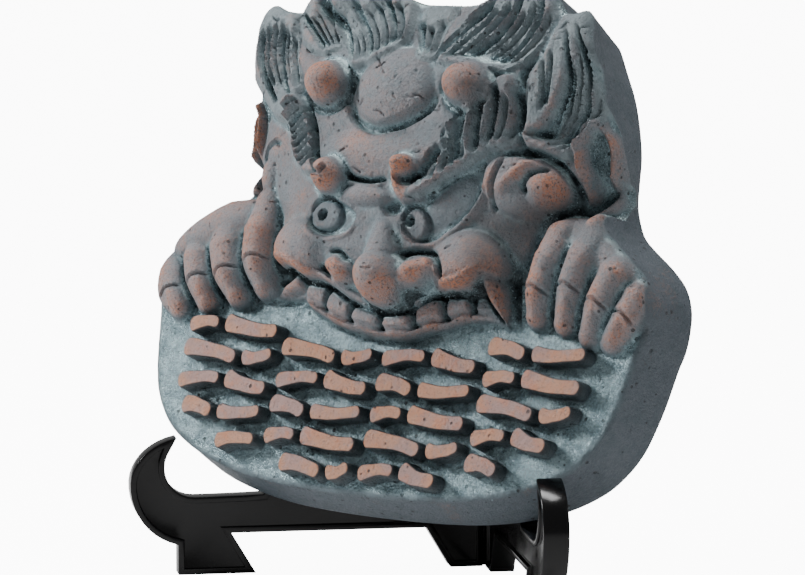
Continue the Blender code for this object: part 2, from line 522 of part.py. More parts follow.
def carve(columns, rows, outline):
    """Height of the clay above the board, in grid units, for each grid point."""
    face = Face(columns, rows)
    head_mass(face)
    for step in (cheeks, forehead, eyes, nose, mouth, hair, curls, horns, ears, hands):
        step(face)
    away = edge_distance(face.x, face.v, outline)
    unit = TILE_WIDTH / GRID_WIDTH
    board_round, head_round = BOARD_EDGE_ROUND / unit, HEAD_EDGE_ROUND / unit
    radius = board_round + (head_round - board_round) * smooth_step(112, 130, face.v)
    inset = np.clip(1.0 - away / radius, 0.0, 1.0)
    face.height -= radius * (1.0 - np.sqrt(1.0 - inset ** 2)) * 0.8
    return np.maximum(face.height, -GRID_SLAB + 3.0)


def tile_outline():
    """Front and back outlines of the tile in grid units, with a pair of points at each place."""
    left_foot = [(-x, v, -out, up) for x, v, out, up in HALF_FOOT[:0:-1]]
    places = np.array(HALF_FOOT + RIGHT_TOP + LEFT_TOP + left_foot)
    dense = spline(places, 40, closed=True)
    gaps = np.hypot(*(np.roll(dense[:, :2], -1, axis=0) - dense[:, :2]).T)
    run = np.concatenate([[0.0], np.cumsum(gaps)])
    closed = np.vstack([dense, dense[:1]])
    stops = np.linspace(0.0, run[-1], OUTLINE_SAMPLES, endpoint=False)
    even = np.stack([np.interp(stops, run, closed[:, k]) for k in range(4)], 1)
    return even[:, :2], even[:, :2] + even[:, 2:]


def to_tile(column, row, height):
    """Grid place and height to metres in the tile's own frame: X across, Z up the face, -Y out of it."""
    unit = TILE_WIDTH / GRID_WIDTH
    rise = TILE_HEIGHT / (GRID_TOP - GRID_FOOT)
    return Vector((column * unit, -height * RELIEF_HEIGHT / GRID_RELIEF, (row - GRID_FOOT) * rise))


def face_points(front):
    """Points over the face, in offset rows."""
    low, high = front.min(0), front.max(0)
    row_gap = FACE_SPACING * math.sqrt(3) / 2
    places = []
    for i, v in enumerate(np.arange(low[1], high[1], row_gap)):
        start = low[0] + (FACE_SPACING / 2 if i % 2 else 0.0)
        places += [(x, v) for x in np.arange(start, high[0], FACE_SPACING)]
    places = np.array(places)
    keep = inside(places[:, 0], places[:, 1], front)
    keep &= edge_distance(places[:, 0], places[:, 1], front) > FACE_SPACING * 0.5
    return places[keep]


def mesh_object(name, bm, material, collection):
    """Link a bmesh as a named object with its material."""
    mesh = bpy.data.meshes.new(name)
    bm.to_mesh(mesh)
    bm.free()
    obj = bpy.data.objects.new(name, mesh)
    obj.data.materials.append(material)
    collection.objects.link(obj)
    return obj


def make_tile(material, collection, cutters):
    """The tile: carved face, side wall and flat back, with the strokes raised on its board."""
    front, back = tile_outline()
    points = face_points(front)
    count = len(front)
    flat = np.vstack([front, points])
    edges = [(i, (i + 1) % count) for i in range(count)]
    verts, _, faces, _, _, _ = delaunay_2d_cdt([Vector(p) for p in flat], edges, [], 1, 1e-6)
    flat = np.array([(v.x, v.y) for v in verts])
    heights = carve(flat[:, 0], flat[:, 1], front)

    bm = bmesh.new()
    surface = [bm.verts.new(to_tile(x, v, h)) for (x, v), h in zip(flat, heights)]
    for corners in faces:
        bm.faces.new([surface[i] for i in corners])
    rear = [bm.verts.new(to_tile(x, v, -GRID_SLAB)) for x, v in back]
    for i in range(count):
        k = (i + 1) % count
        bm.faces.new([surface[k], surface[i], rear[i], rear[k]])
    bm.faces.new(rear)
    bmesh.ops.recalc_face_normals(bm, faces=bm.faces)
    bmesh.ops.triangulate(bm, faces=bm.faces)
    tile = mesh_object("onigawara_tile", bm, material, collection)
    thin = tile.modifiers.new("Fewer faces", "DECIMATE")
    thin.ratio = TILE_TRIANGLES / len(tile.data.polygons)
    add_strokes(tile, material, cutters)
    tile.data.shade_smooth()
    tile.data.set_sharp_from_angle(angle=math.radians(SHARP_DEG))
    return tile


def stroke_outline(start, end, bow, width_start, width_end):
    """A brush dab: a bowed, tapering stroke with round ends, as an outline in grid units."""
    start, end = np.array(start, float), np.array(end, float)
    run = end - start
    length = np.hypot(*run)
    along = run / length
    across = np.array([-along[1], along[0]])
    sides, steps = [], 6
    for sign in (1, -1):
        side = []
        for i in range(steps + 1):
            s = i / steps
            middle = start + run * s + across * bow * 4 * s * (1 - s)
            half = (width_start + (width_end - width_start) * s) / 2 * (1 - 0.10 * math.sin(math.pi * s))
            side.append(middle + across * sign * half)
        sides.append(side)
    head = start - along * width_start * 0.32
    tail = end + along * width_end * 0.42
    return sides[1] + [tail] + sides[0][::-1] + [head]


def board_half_width(row):
    """Half the board's width at a row of the grid."""
    foot = np.array(HALF_FOOT)
    return float(np.interp(row, foot[:, 1], foot[:, 0]))


def stroke_rows():
    """Rows of separate dabs in four groups that follow the board's curve."""
    dabs = []
    for group, (middle, level) in enumerate(STROKE_GROUPS):
        for row in range(STROKE_ROWS):
            v = level + ((STROKE_ROWS - 1) / 2 - row) * STROKE_PITCH
            limit = board_half_width(v - STROKE_PITCH / 2) - BOARD_MARGIN
            left = max(middle - GROUP_HALF_WIDTH, -limit)
            right = min(middle + GROUP_HALF_WIDTH, limit)
            kind = (row + group) % len(DAB_CUTS)
            cut = left + (right - left) * DAB_CUTS[kind]
            spans = ((left, cut), (cut, right)) if right - left > SPLIT_FROM else ((left, right),)
            for k, (start, end) in enumerate(spans):
                sense = -1 if k else 1
                slant = DAB_SLANTS[kind] * sense
                thick = DAB_BROAD if (row + k + group) % 2 else DAB_SLIM
                dabs.append(((start + DAB_HEAD_ROOM, v - slant), (end - DAB_TAIL_ROOM, v + slant),
                             DAB_BOW * sense, thick, thick * DAB_TAPER))
    return dabs


def add_strokes(tile, material, cutters):
    """Raise the strokes on the tile's board as one union."""
    bm = bmesh.new()
    for dab in stroke_rows():
        outline = stroke_outline(*dab)
        root = [bm.verts.new(to_tile(x, v, 0) + Vector((0, STROKE_ROOT, 0))) for x, v in outline]
        cap = [bm.verts.new(to_tile(x, v, 0) - Vector((0, STROKE_HEIGHT, 0))) for x, v in outline]
        count = len(outline)
        bm.faces.new(cap)
        bm.faces.new(root[::-1])
        for i in range(count):
            k = (i + 1) % count
            bm.faces.new([cap[k], cap[i], root[i], root[k]])
    bmesh.ops.recalc_face_normals(bm, faces=bm.faces)
    strokes = mesh_object("stroke_former", bm, material, cutters)
    strokes.parent = tile
    strokes.hide_render = True
    strokes.display_type = "WIRE"
    union = tile.modifiers.new("Raised strokes", "BOOLEAN")
    union.operation = "UNION"
    union.solver = "MANIFOLD"
    union.object = strokes


def arc(centre, radius, start_deg, end_deg):
    """Points along an arc."""
    return [(centre[0] + radius * math.cos(a), centre[1] + radius * math.sin(a))
            for a in np.radians(np.linspace(start_deg, end_deg, ARC_STEPS))]


def rest_slope():
    """How far the tile's back moves toward the hinge, along a leaf, for each metre up."""
    return math.tan(math.radians(LEAN_DEG)) / math.cos(math.radians(HALF_SPREAD_DEG))


def leaf_profile():
    """Outline of a leaf: distance from the hinge axis and height, counterclockwise from the rear foot."""
    rear = BARREL_RADIUS + HINGE_GAP
    reach = hook_reach()
    hollow = (reach - HOOK_WALL - HOOK_INNER_RADIUS, ARM_HEIGHT + HOOK_INNER_RADIUS)
    belly = reach - HOOK_OUTER_RADIUS
    foot_front = belly + FOOT_FRONT_OFFSET
    tip = reach - HOOK_OVERHANG
    upright_top = SEAT_DEPTH - (UPRIGHT_HEIGHT - SEAT_HEIGHT) * rest_slope()
    tip_radius = UPRIGHT_TIP_WIDTH / 2
    rear_heel, front_heel = rear + REAR_FOOT_LENGTH, foot_front - FRONT_FOOT_LENGTH
    profile = [(rear, 0.0), (rear_heel, 0.0), (rear_heel + FOOT_FLARE, ARM_CLEARANCE)]
    profile += [(front_heel + FOOT_FLARE, ARM_CLEARANCE), (front_heel, 0.0), (foot_front, 0.0)]
    low = math.acos((foot_front - belly) / HOOK_OUTER_RADIUS)
    high = math.acos((tip - belly) / HOOK_OUTER_RADIUS)
    for angle in np.linspace(-low, high, 2 * ARC_STEPS):
        rise = HOOK_BELLY_DROP if angle < 0 else HOOK_TIP_HEIGHT - HOOK_BELLY_HEIGHT
        height = HOOK_BELLY_HEIGHT + rise * math.sin(angle)
        profile.append((belly + HOOK_OUTER_RADIUS * math.cos(angle), height))
    profile += arc(hollow, HOOK_INNER_RADIUS, HOOK_TIP_DEG, -90.0)
    for share in np.linspace(0.0, 1.0, ARC_STEPS // 2)[1:]:
        height = ARM_HEIGHT + (SEAT_HEIGHT - ARM_HEIGHT) * share ** 2
        profile.append((hollow[0] + (SEAT_DEPTH - hollow[0]) * share, height))
    profile += arc((upright_top - tip_radius, UPRIGHT_HEIGHT), tip_radius, 0.0, 180.0)[:-1]
    profile += [(upright_top - UPRIGHT_TIP_WIDTH, UPRIGHT_HEIGHT - tip_radius), (rear, HINGE_HEIGHT)]
    return profile


def hook_reach():
    """Distance from the hinge axis to the hook's outside: the slab fits between rest and hook tip."""
    spread = math.radians(HALF_SPREAD_DEG)
    slab = SLAB_THICKNESS / math.cos(math.radians(LEAN_DEG)) + 2 * SEAT_GAP
    shoulder = LEAF_THICKNESS * math.sin(spread)
    tip_inside = SEAT_DEPTH + (slab + shoulder) / math.cos(spread)
    tip_inside -= (HOOK_TIP_HEIGHT - SEAT_HEIGHT) * rest_slope()
    return tip_inside + HOOK_OVERHANG


def inset_outline(points, distance):
    """The outline moved inwards by a distance, corner by corner, for an anticlockwise outline."""
    points = np.asarray(points)
    before = points - np.roll(points, 1, axis=0)
    after = np.roll(points, -1, axis=0) - points
    moved = []
    for point, a, b in zip(points, before, after):
        na = np.array([-a[1], a[0]]) / np.hypot(*a)
        nb = np.array([-b[1], b[0]]) / np.hypot(*b)
        corner = na + nb
        moved.append(point + corner * distance / max(0.35, 1.0 + na @ nb))
    moved = np.array(moved)
    return moved[edge_distance(moved[:, 0], moved[:, 1], points) > distance * 0.97]


def plate(name, outline, thickness, material, collection):
    """A flat outline in the XZ plane with a thickness along Y, as a mesh object."""
    bm = bmesh.new()
    near = [bm.verts.new((x, -thickness / 2, z)) for x, z in outline]
    far = [bm.verts.new((x, thickness / 2, z)) for x, z in outline]
    count = len(outline)
    bm.faces.new(near)
    bm.faces.new(far[::-1])
    for i in range(count):
        k = (i + 1) % count
        bm.faces.new([near[k], near[i], far[i], far[k]])
    bmesh.ops.recalc_face_normals(bm, faces=bm.faces)
    return mesh_object(name, bm, material, collection)


def make_leaf(name, side, frame, material, collection, cutters):
    """One leaf of the stand: plate with a sunk web on both faces, and its barrels of the hinge."""
    profile = leaf_profile()
    leaf = plate(name, profile, LEAF_THICKNESS, material, collection)
    web = inset_outline(profile, RIM_WIDTH)
    pieces = []
    for face_side in (-1, 1):
        cutter_name = name + ("_web_near" if face_side < 0 else "_web_far")
        cutter = plate(cutter_name, web, 2 * WEB_RECESS, material, cutters)
        cutter.location.y = face_side * LEAF_THICKNESS / 2
        pieces.append((cutter, "DIFFERENCE"))
    step = (HINGE_HEIGHT + TOUCH_GAP) / BARREL_COUNT
    for i in range(BARREL_COUNT):
        if (i % 2 == 0) != (side < 0):
            continue
        bm = bmesh.new()
        bmesh.ops.create_cone(bm, cap_ends=True, segments=BARREL_SEGMENTS, radius1=BARREL_RADIUS,
                              radius2=BARREL_RADIUS, depth=step - TOUCH_GAP)
        barrel = mesh_object(f"{name}_barrel_{i}", bm, material, cutters)
        barrel.location.z = step * i + (step - TOUCH_GAP) / 2
        tongue_length = 2 * BARREL_RADIUS
        tongue_height = step - TOUCH_GAP
        tongue = [(0.0, 0.0), (tongue_length, 0.0), (tongue_length, tongue_height), (0.0, tongue_height)]
        bridge = plate(f"{name}_bridge_{i}", tongue, BRIDGE_THICKNESS, material, cutters)
        bridge.location.z = step * i
        pieces += [(barrel, "UNION"), (bridge, "UNION")]
    leaf.parent = frame
    leaf.rotation_euler.z = -math.pi / 2 + side * math.radians(HALF_SPREAD_DEG)
    for piece, operation in pieces:
        piece.parent = leaf
        piece.hide_render = True
        piece.display_type = "WIRE"
        change = leaf.modifiers.new(piece.name, "BOOLEAN")
        change.operation = operation
        change.object = piece
    return leaf


def place_tile(tile, frame):
    """Lean the tile on the uprights and set its lower back edge on the arms, with the touching gap."""
    lean, spread = math.radians(LEAN_DEG), math.radians(HALF_SPREAD_DEG)
    inner_x = SEAT_DEPTH * math.sin(spread) - LEAF_THICKNESS / 2 * math.cos(spread)
    inner_y = -SEAT_DEPTH * math.cos(spread) - LEAF_THICKNESS / 2 * math.sin(spread)
    inner_y -= TOUCH_GAP / math.cos(lean)
    _, back = tile_outline()
    lower = back[back[:, 1] < 100]
    order = np.argsort(lower[:, 0])
    unit = TILE_WIDTH / GRID_WIDTH
    row = np.interp(inner_x / unit, lower[order, 0], lower[order, 1])
    up = Vector((0.0, math.sin(lean), math.cos(lean)))
    out = Vector((0.0, -math.cos(lean), math.sin(lean)))
    foot = to_tile(0.0, row, 0.0).z
    rest = Vector((0.0, inner_y, SEAT_HEIGHT + SEAT_GAP))
    tile.parent = frame
    tile.location = rest - up * foot + out * SLAB_THICKNESS
    tile.rotation_euler.x = -lean


def centre_on_origin(frame, objects):
    """Move the whole so that the middle of its footprint is the origin."""
    bpy.context.view_layer.update()
    graph = bpy.context.evaluated_depsgraph_get()
    corners = []
    for obj in objects:
        shape = obj.evaluated_get(graph)
        mesh = shape.to_mesh()
        corners += [obj.matrix_world @ vertex.co for vertex in mesh.vertices]
        shape.to_mesh_clear()
    corners = np.array(corners)
    middle = (corners.min(0) + corners.max(0)) / 2
    frame.location = (-middle[0], -middle[1], 0.0)
    bpy.context.view_layer.update()


def make_material(name, colour, roughness):
    """A plain Principled material."""
    material = bpy.data.materials.new(name)
    material.use_nodes = True
    shader = material.node_tree.nodes["Principled BSDF"]
    shader.inputs["Base Color"].default_value = (*colour, 1.0)
    shader.inputs["Roughness"].default_value = roughness
    shader.inputs["Metallic"].default_value = 0.0
    return material


def new_collection(name):
    """A collection linked under the scene."""
    collection = bpy.data.collections.new(name)
    bpy.context.scene.collection.children.link(collection)
    return collection


def main():
    """Build the tile and the two leaves of its stand."""
    for obj in list(bpy.data.objects):
        bpy.data.objects.remove(obj, do_unlink=True)
    parts = new_collection("roof_end_tile")
    cutters = new_collection("cutters")
    clay = make_material("smoked_clay", (0.20, 0.23, 0.24), 0.62)
    plastic = make_material("black_plastic", (0.012, 0.012, 0.013), 0.25)
    frame = bpy.data.objects.new("stand_frame", None)
    parts.objects.link(frame)
    tile = make_tile(clay, parts, cutters)
    place_tile(tile, frame)
    leaves = [make_leaf("stand_leaf_left", -1, frame, plastic, parts, cutters),
              make_leaf("stand_leaf_right", 1, frame, plastic, parts, cutters)]
    centre_on_origin(frame, [tile] + leaves)


main()
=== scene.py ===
"""Looks of the roof end tile: a demon's head over a board held in two hands, leaning on its plate stand.

Metres, +Z up, the tile faces -Y. The clay is one closed mesh: its face is a height over every point of a
carving grid, with strands, lids, teeth, knuckles, pores and cracks cut finer than the CAD solid holds them.
Each point keeps how proud or deep it lies, and the wear, sheen, painted shade and painted highlights follow
it.
"""
import logging
import math
from dataclasses import dataclass, field
from enum import Enum
from typing import Sequence

import bmesh
import bpy
import numpy as np
from mathutils import Matrix, Vector
from mathutils.geometry import delaunay_2d_cdt


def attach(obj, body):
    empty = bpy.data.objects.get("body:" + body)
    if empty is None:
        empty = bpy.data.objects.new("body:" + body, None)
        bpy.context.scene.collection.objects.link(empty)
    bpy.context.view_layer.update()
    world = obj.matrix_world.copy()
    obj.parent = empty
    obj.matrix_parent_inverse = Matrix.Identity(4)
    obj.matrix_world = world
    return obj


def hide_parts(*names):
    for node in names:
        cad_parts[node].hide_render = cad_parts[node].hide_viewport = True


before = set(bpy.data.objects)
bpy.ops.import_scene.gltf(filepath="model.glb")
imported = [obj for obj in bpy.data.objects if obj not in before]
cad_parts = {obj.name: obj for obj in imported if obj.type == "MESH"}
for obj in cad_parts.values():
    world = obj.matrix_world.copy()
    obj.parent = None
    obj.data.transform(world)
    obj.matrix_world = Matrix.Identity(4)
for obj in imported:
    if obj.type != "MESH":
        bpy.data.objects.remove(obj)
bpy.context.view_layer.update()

LOG = logging.getLogger("roof_end_tile")

Array = np.ndarray
Spot = tuple[float, float]

ROOT_BODY = "root"
SEED = 41

FAR = 1e9
NOISE_CELLS = 512
NOISE_START = 700.5
WELD = 1e-7


class Slot(Enum):
    """The record's material slots."""

    CLAY = "smoked_clay"
    PLASTIC = "black_plastic"


class Mark(Enum):
    """What is kept on each point of the clay for its finish, painted shade and painted highlights among it.
    """

    RUB = "rub"
    RECESS = "recess"
    SHEEN = "sheen"
    CAP = "cap"
    FLANK = "flank"
    WALL = "wall"
    TRESS = "tress"
    PAINTED_GLINT = "painted_glint"
    SMOKE = "painted_shade"
    CRUMB = "crumb"


# Curves and blends

def smooth_step(low: float, high: float, value: Array) -> Array:
    """Return 0 below low and 1 above high, smooth between."""
    share = np.clip((value - low) / (high - low), 0.0, 1.0)
    return share * share * (3.0 - 2.0 * share)


def smooth_max(a: Array, b: Array, blend: float) -> Array:
    """Return the larger of two heights, with a fillet where they meet.

    Args:
        a: The first height.
        b: The second height.
        blend: The fillet's size.

    Returns:
        The blended height.
    """
    share = np.clip(0.5 + 0.5 * (a - b) / blend, 0.0, 1.0)
    return b + (a - b) * share + blend * share * (1.0 - share) * 0.5


def spline(points: Sequence[Sequence[float]], steps: int = 8, closed: bool = False) -> Array:
    """Return a Catmull-Rom curve through the points.

    Args:
        points: The points, each with two or more numbers.
        steps: Points made for each span.
        closed: Whether the curve returns to its start.

    Returns:
        The curve's points.
    """
    knots = np.asarray(points, float)
    count = len(knots)
    spans = count if closed else count - 1
    ends = [knots[0] * 2 - knots[1], knots[-1] * 2 - knots[-2]]
    out = []
    for i in range(spans):
        if closed:
            p0, p1, p2, p3 = (knots[(i + k - 1) % count] for k in range(4))
        else:
            p0 = knots[i - 1] if i else ends[0]
            p1, p2 = knots[i], knots[i + 1]
            p3 = knots[i + 2] if i + 2 < count else ends[1]
        for k in range(steps):
            s = k / steps
            bend = (2 * p0 - 5 * p1 + 4 * p2 - p3) * s * s
            twist = (3 * p1 - p0 - 3 * p2 + p3) * s ** 3
            out.append(0.5 * (2 * p1 + (p2 - p0) * s + bend + twist))
    if not closed:
        out.append(knots[-1])
    return np.array(out)


def ring_points(centre: Spot, radii: Spot, start_deg: float, end_deg: float, count: int = 10) -> list[Spot]:
    """Return points on an oval from one angle to another."""
    angles = np.radians(np.linspace(start_deg, end_deg, count))
    return [(centre[0] + radii[0] * math.cos(a), centre[1] + radii[1] * math.sin(a)) for a in angles]


def edge_distance(columns: Array, rows: Array, outline: Array) -> Array:
    """Return how far each point lies from a closed outline."""
    best = np.full(len(columns), FAR)
    for start, end in zip(outline, np.roll(outline, -1, axis=0)):
        run = end - start
        dx, dv = columns - start[0], rows - start[1]
        along = np.clip((dx * run[0] + dv * run[1]) / (run @ run), 0.0, 1.0)
        best = np.minimum(best, np.hypot(dx - along * run[0], dv - along * run[1]))
    return best


def inside(columns: Array, rows: Array, outline: Array) -> Array:
    """Return which points lie inside a closed outline."""
    result = np.zeros(len(columns), bool)
    for (x1, v1), (x2, v2) in zip(outline, np.roll(outline, -1, axis=0)):
        if v1 == v2:
            continue
        crosses = (rows < v1) != (rows < v2)
        result ^= crosses & (columns < x1 + (rows - v1) * (x2 - x1) / (v2 - v1))
    return result


def oval_share(columns: Array, rows: Array, centre: Spot, radii: Spot, turn: float) -> Array:
    """Return each point's squared share of the radius of an oval, turned by an angle in degrees."""
    c, s = math.cos(math.radians(turn)), math.sin(math.radians(turn))
    dx, dv = columns - centre[0], rows - centre[1]
    return ((dx * c + dv * s) / radii[0]) ** 2 + ((dv * c - dx * s) / radii[1]) ** 2


def lump_noise(columns: Array, rows: Array, cell: float, seed: int) -> Array:
    """Return smooth noise from -1 to 1 over the grid.

    Args:
        columns: Grid columns.
        rows: Grid rows.
        cell: Size of a lump in grid units.
        seed: Seed of the pattern.

    Returns:
        The noise at each point.
    """
    rng = np.random.default_rng(seed)
    table = rng.uniform(-1.0, 1.0, (NOISE_CELLS, NOISE_CELLS))
    gx, gv = columns / cell + NOISE_START, rows / cell + NOISE_START
    ix, iv = np.floor(gx).astype(int), np.floor(gv).astype(int)
    fx, fv = gx - ix, gv - iv
    fx, fv = fx * fx * (3 - 2 * fx), fv * fv * (3 - 2 * fv)
    corner = [table[(ix + a) % NOISE_CELLS, (iv + b) % NOISE_CELLS]
              for a, b in ((0, 0), (1, 0), (0, 1), (1, 1))]
    low = corner[0] * (1 - fx) + corner[1] * fx
    high = corner[2] * (1 - fx) + corner[3] * fx
    return low * (1 - fv) + high * fv


@dataclass(frozen=True)
class Tuft:
    """A tuft of hair: its raised bed, the lines that its partings run between, and their number and depth."""

    bed: tuple[Spot, ...]
    guides: tuple[tuple[Spot, ...], ...]
    partings: int
    rise: float = 3.0
    depth: float = 3.0
    shoulder: float = 3.0


@dataclass(frozen=True)
class Finger:
    """A finger: its line from knuckle to tip, widths and heights along it."""

    line: tuple[Spot, ...]
    widths: tuple[float, ...]
    tops: tuple[float, ...]


@dataclass(frozen=True)
class CarvingGrid:
    """The grid that the face is drawn on, and how it lies in the part's frame.

    A grid unit is about a millimetre. Columns run across the tile from its middle, rows up it from the foot
    of the board, and heights out of the board.
    """

    tile_width: float = 0.214
    tile_height: float = 0.186
    slab_thickness: float = 0.022
    relief_height: float = 0.032
    lean_deg: float = 20.0
    foot_place: tuple[float, float, float] = (-0.00005, -0.03873, 0.0371)
    width: float = 214.0
    foot_row: float = 38.8
    top_row: float = 225.0
    relief: float = 32.0

    @property
    def slab(self) -> float:
        """The slab's thickness in grid units."""
        return self.slab_thickness / self.relief_height * self.relief

    def place(self, columns: Array, rows: Array, heights: Array) -> Array:
        """Return the points in the part's frame.

        Args:
            columns: Grid columns.
            rows: Grid rows.
            heights: Heights over the board, in grid units.

        Returns:
            An array of places in metres, a row for each point.
        """
        lean = math.radians(self.lean_deg)
        up = np.array([0.0, math.sin(lean), math.cos(lean)])
        out = np.array([0.0, -math.cos(lean), math.sin(lean)])
        across = np.asarray(columns) * self.tile_width / self.width
        rise = (np.asarray(rows) - self.foot_row) * self.tile_height / (self.top_row - self.foot_row)
        proud = np.asarray(heights) * self.relief_height / self.relief
        return (np.array(self.foot_place) + np.outer(across, (1.0, 0.0, 0.0)) + np.outer(rise, up)
                + np.outer(proud, out))


@dataclass(frozen=True)
class TileOutline:
    """The face's edge and the slab's back edge, as paired loops on the grid.

    Each control point holds a column and a row, and how far the back edge lies from it. The hair's tufts lean
    out over the slab's back.
    """

    samples: int = 620
    span_steps: int = 40
    half_foot: tuple[tuple[float, ...], ...] = (
        (0, 38.8, 0, -4.2), (22, 39.2, 0, -4.2), (42, 40.6, 0.3, -4.2), (60, 43.8, 1.0, -4.1),
        (75, 48.5, 2.0, -3.8), (87, 55, 3.2, -2.9), (94, 62, 4.0, -2.0), (98.4, 69, 4.3, -1.2),
        (100.8, 76, 4.4, -0.8), (102.8, 84, 4.5, -0.5), (104, 91, 4.6, -0.3), (105.2, 98, 4.6, 0),
        (106.6, 104, 4.6, 0.2), (107, 111, 4.4, 0.6), (106.2, 118, 4.0, 1.4), (103, 124.5, 3.4, 2.4),
        (97, 130, 2.6, 3.2), (90, 135.2, 2.0, 3.4), (84, 141, 2.0, 2.4), (81.8, 148, 0.6, 1.2),
        (81.4, 155, -1.4, 0.5), (81.2, 163, -2.4, 0.3))
    right_top: tuple[tuple[float, ...], ...] = (
        (79.8, 173, -2.4, 0), (76.6, 184, -2.6, 0), (73.4, 194, -3.6, 0), (70.4, 204, -5.8, -1),
        (66.4, 215.4, -7.6, -3.0), (60, 214.2, -4.6, -1.8), (54, 216.4, -3.0, -2.4), (48, 223.4, -2.0, -3.2),
        (41, 225, -0.6, -2.6), (32, 221, 0.4, -1.6), (20, 217.6, 0, -0.6), (6, 216.4, 0, 0),
        (-8, 217.2, 0, 0))
    left_top: tuple[tuple[float, ...], ...] = (
        (-20, 221.5, -0.4, -1.6), (-32, 224.6, 0, -2.4), (-44, 225, 0.8, -2.6), (-55, 222.6, 2.4, -2.4),
        (-60, 212.6, 2.6, -1.4), (-66, 212.2, 4.0, -1.8), (-73, 214.6, 6.8, -3.2), (-77.6, 211, 7.6, -2.2),
        (-78.8, 203, 5.8, -1.0), (-77.2, 193.5, 2.6, 0), (-74.6, 185.5, 1.0, 0), (-75.8, 178.5, 1.4, 0),
        (-79.6, 171, 2.2, 0))

    def loops(self) -> tuple[Array, Array]:
        """Return the front and back loops, with a pair of points at each place."""
        left_foot = [(-x, v, -out, up) for x, v, out, up in self.half_foot[:0:-1]]
        places = np.array(list(self.half_foot) + list(self.right_top) + list(self.left_top) + left_foot)
        dense = spline(places, self.span_steps, closed=True)
        gaps = np.hypot(*(np.roll(dense[:, :2], -1, axis=0) - dense[:, :2]).T)
        run = np.concatenate([[0.0], np.cumsum(gaps)])
        ring = np.vstack([dense, dense[:1]])
        stops = np.linspace(0.0, run[-1], self.samples, endpoint=False)
        even = np.stack([np.interp(stops, run, ring[:, k]) for k in range(4)], 1)
        return even[:, :2], even[:, :2] + even[:, 2:]


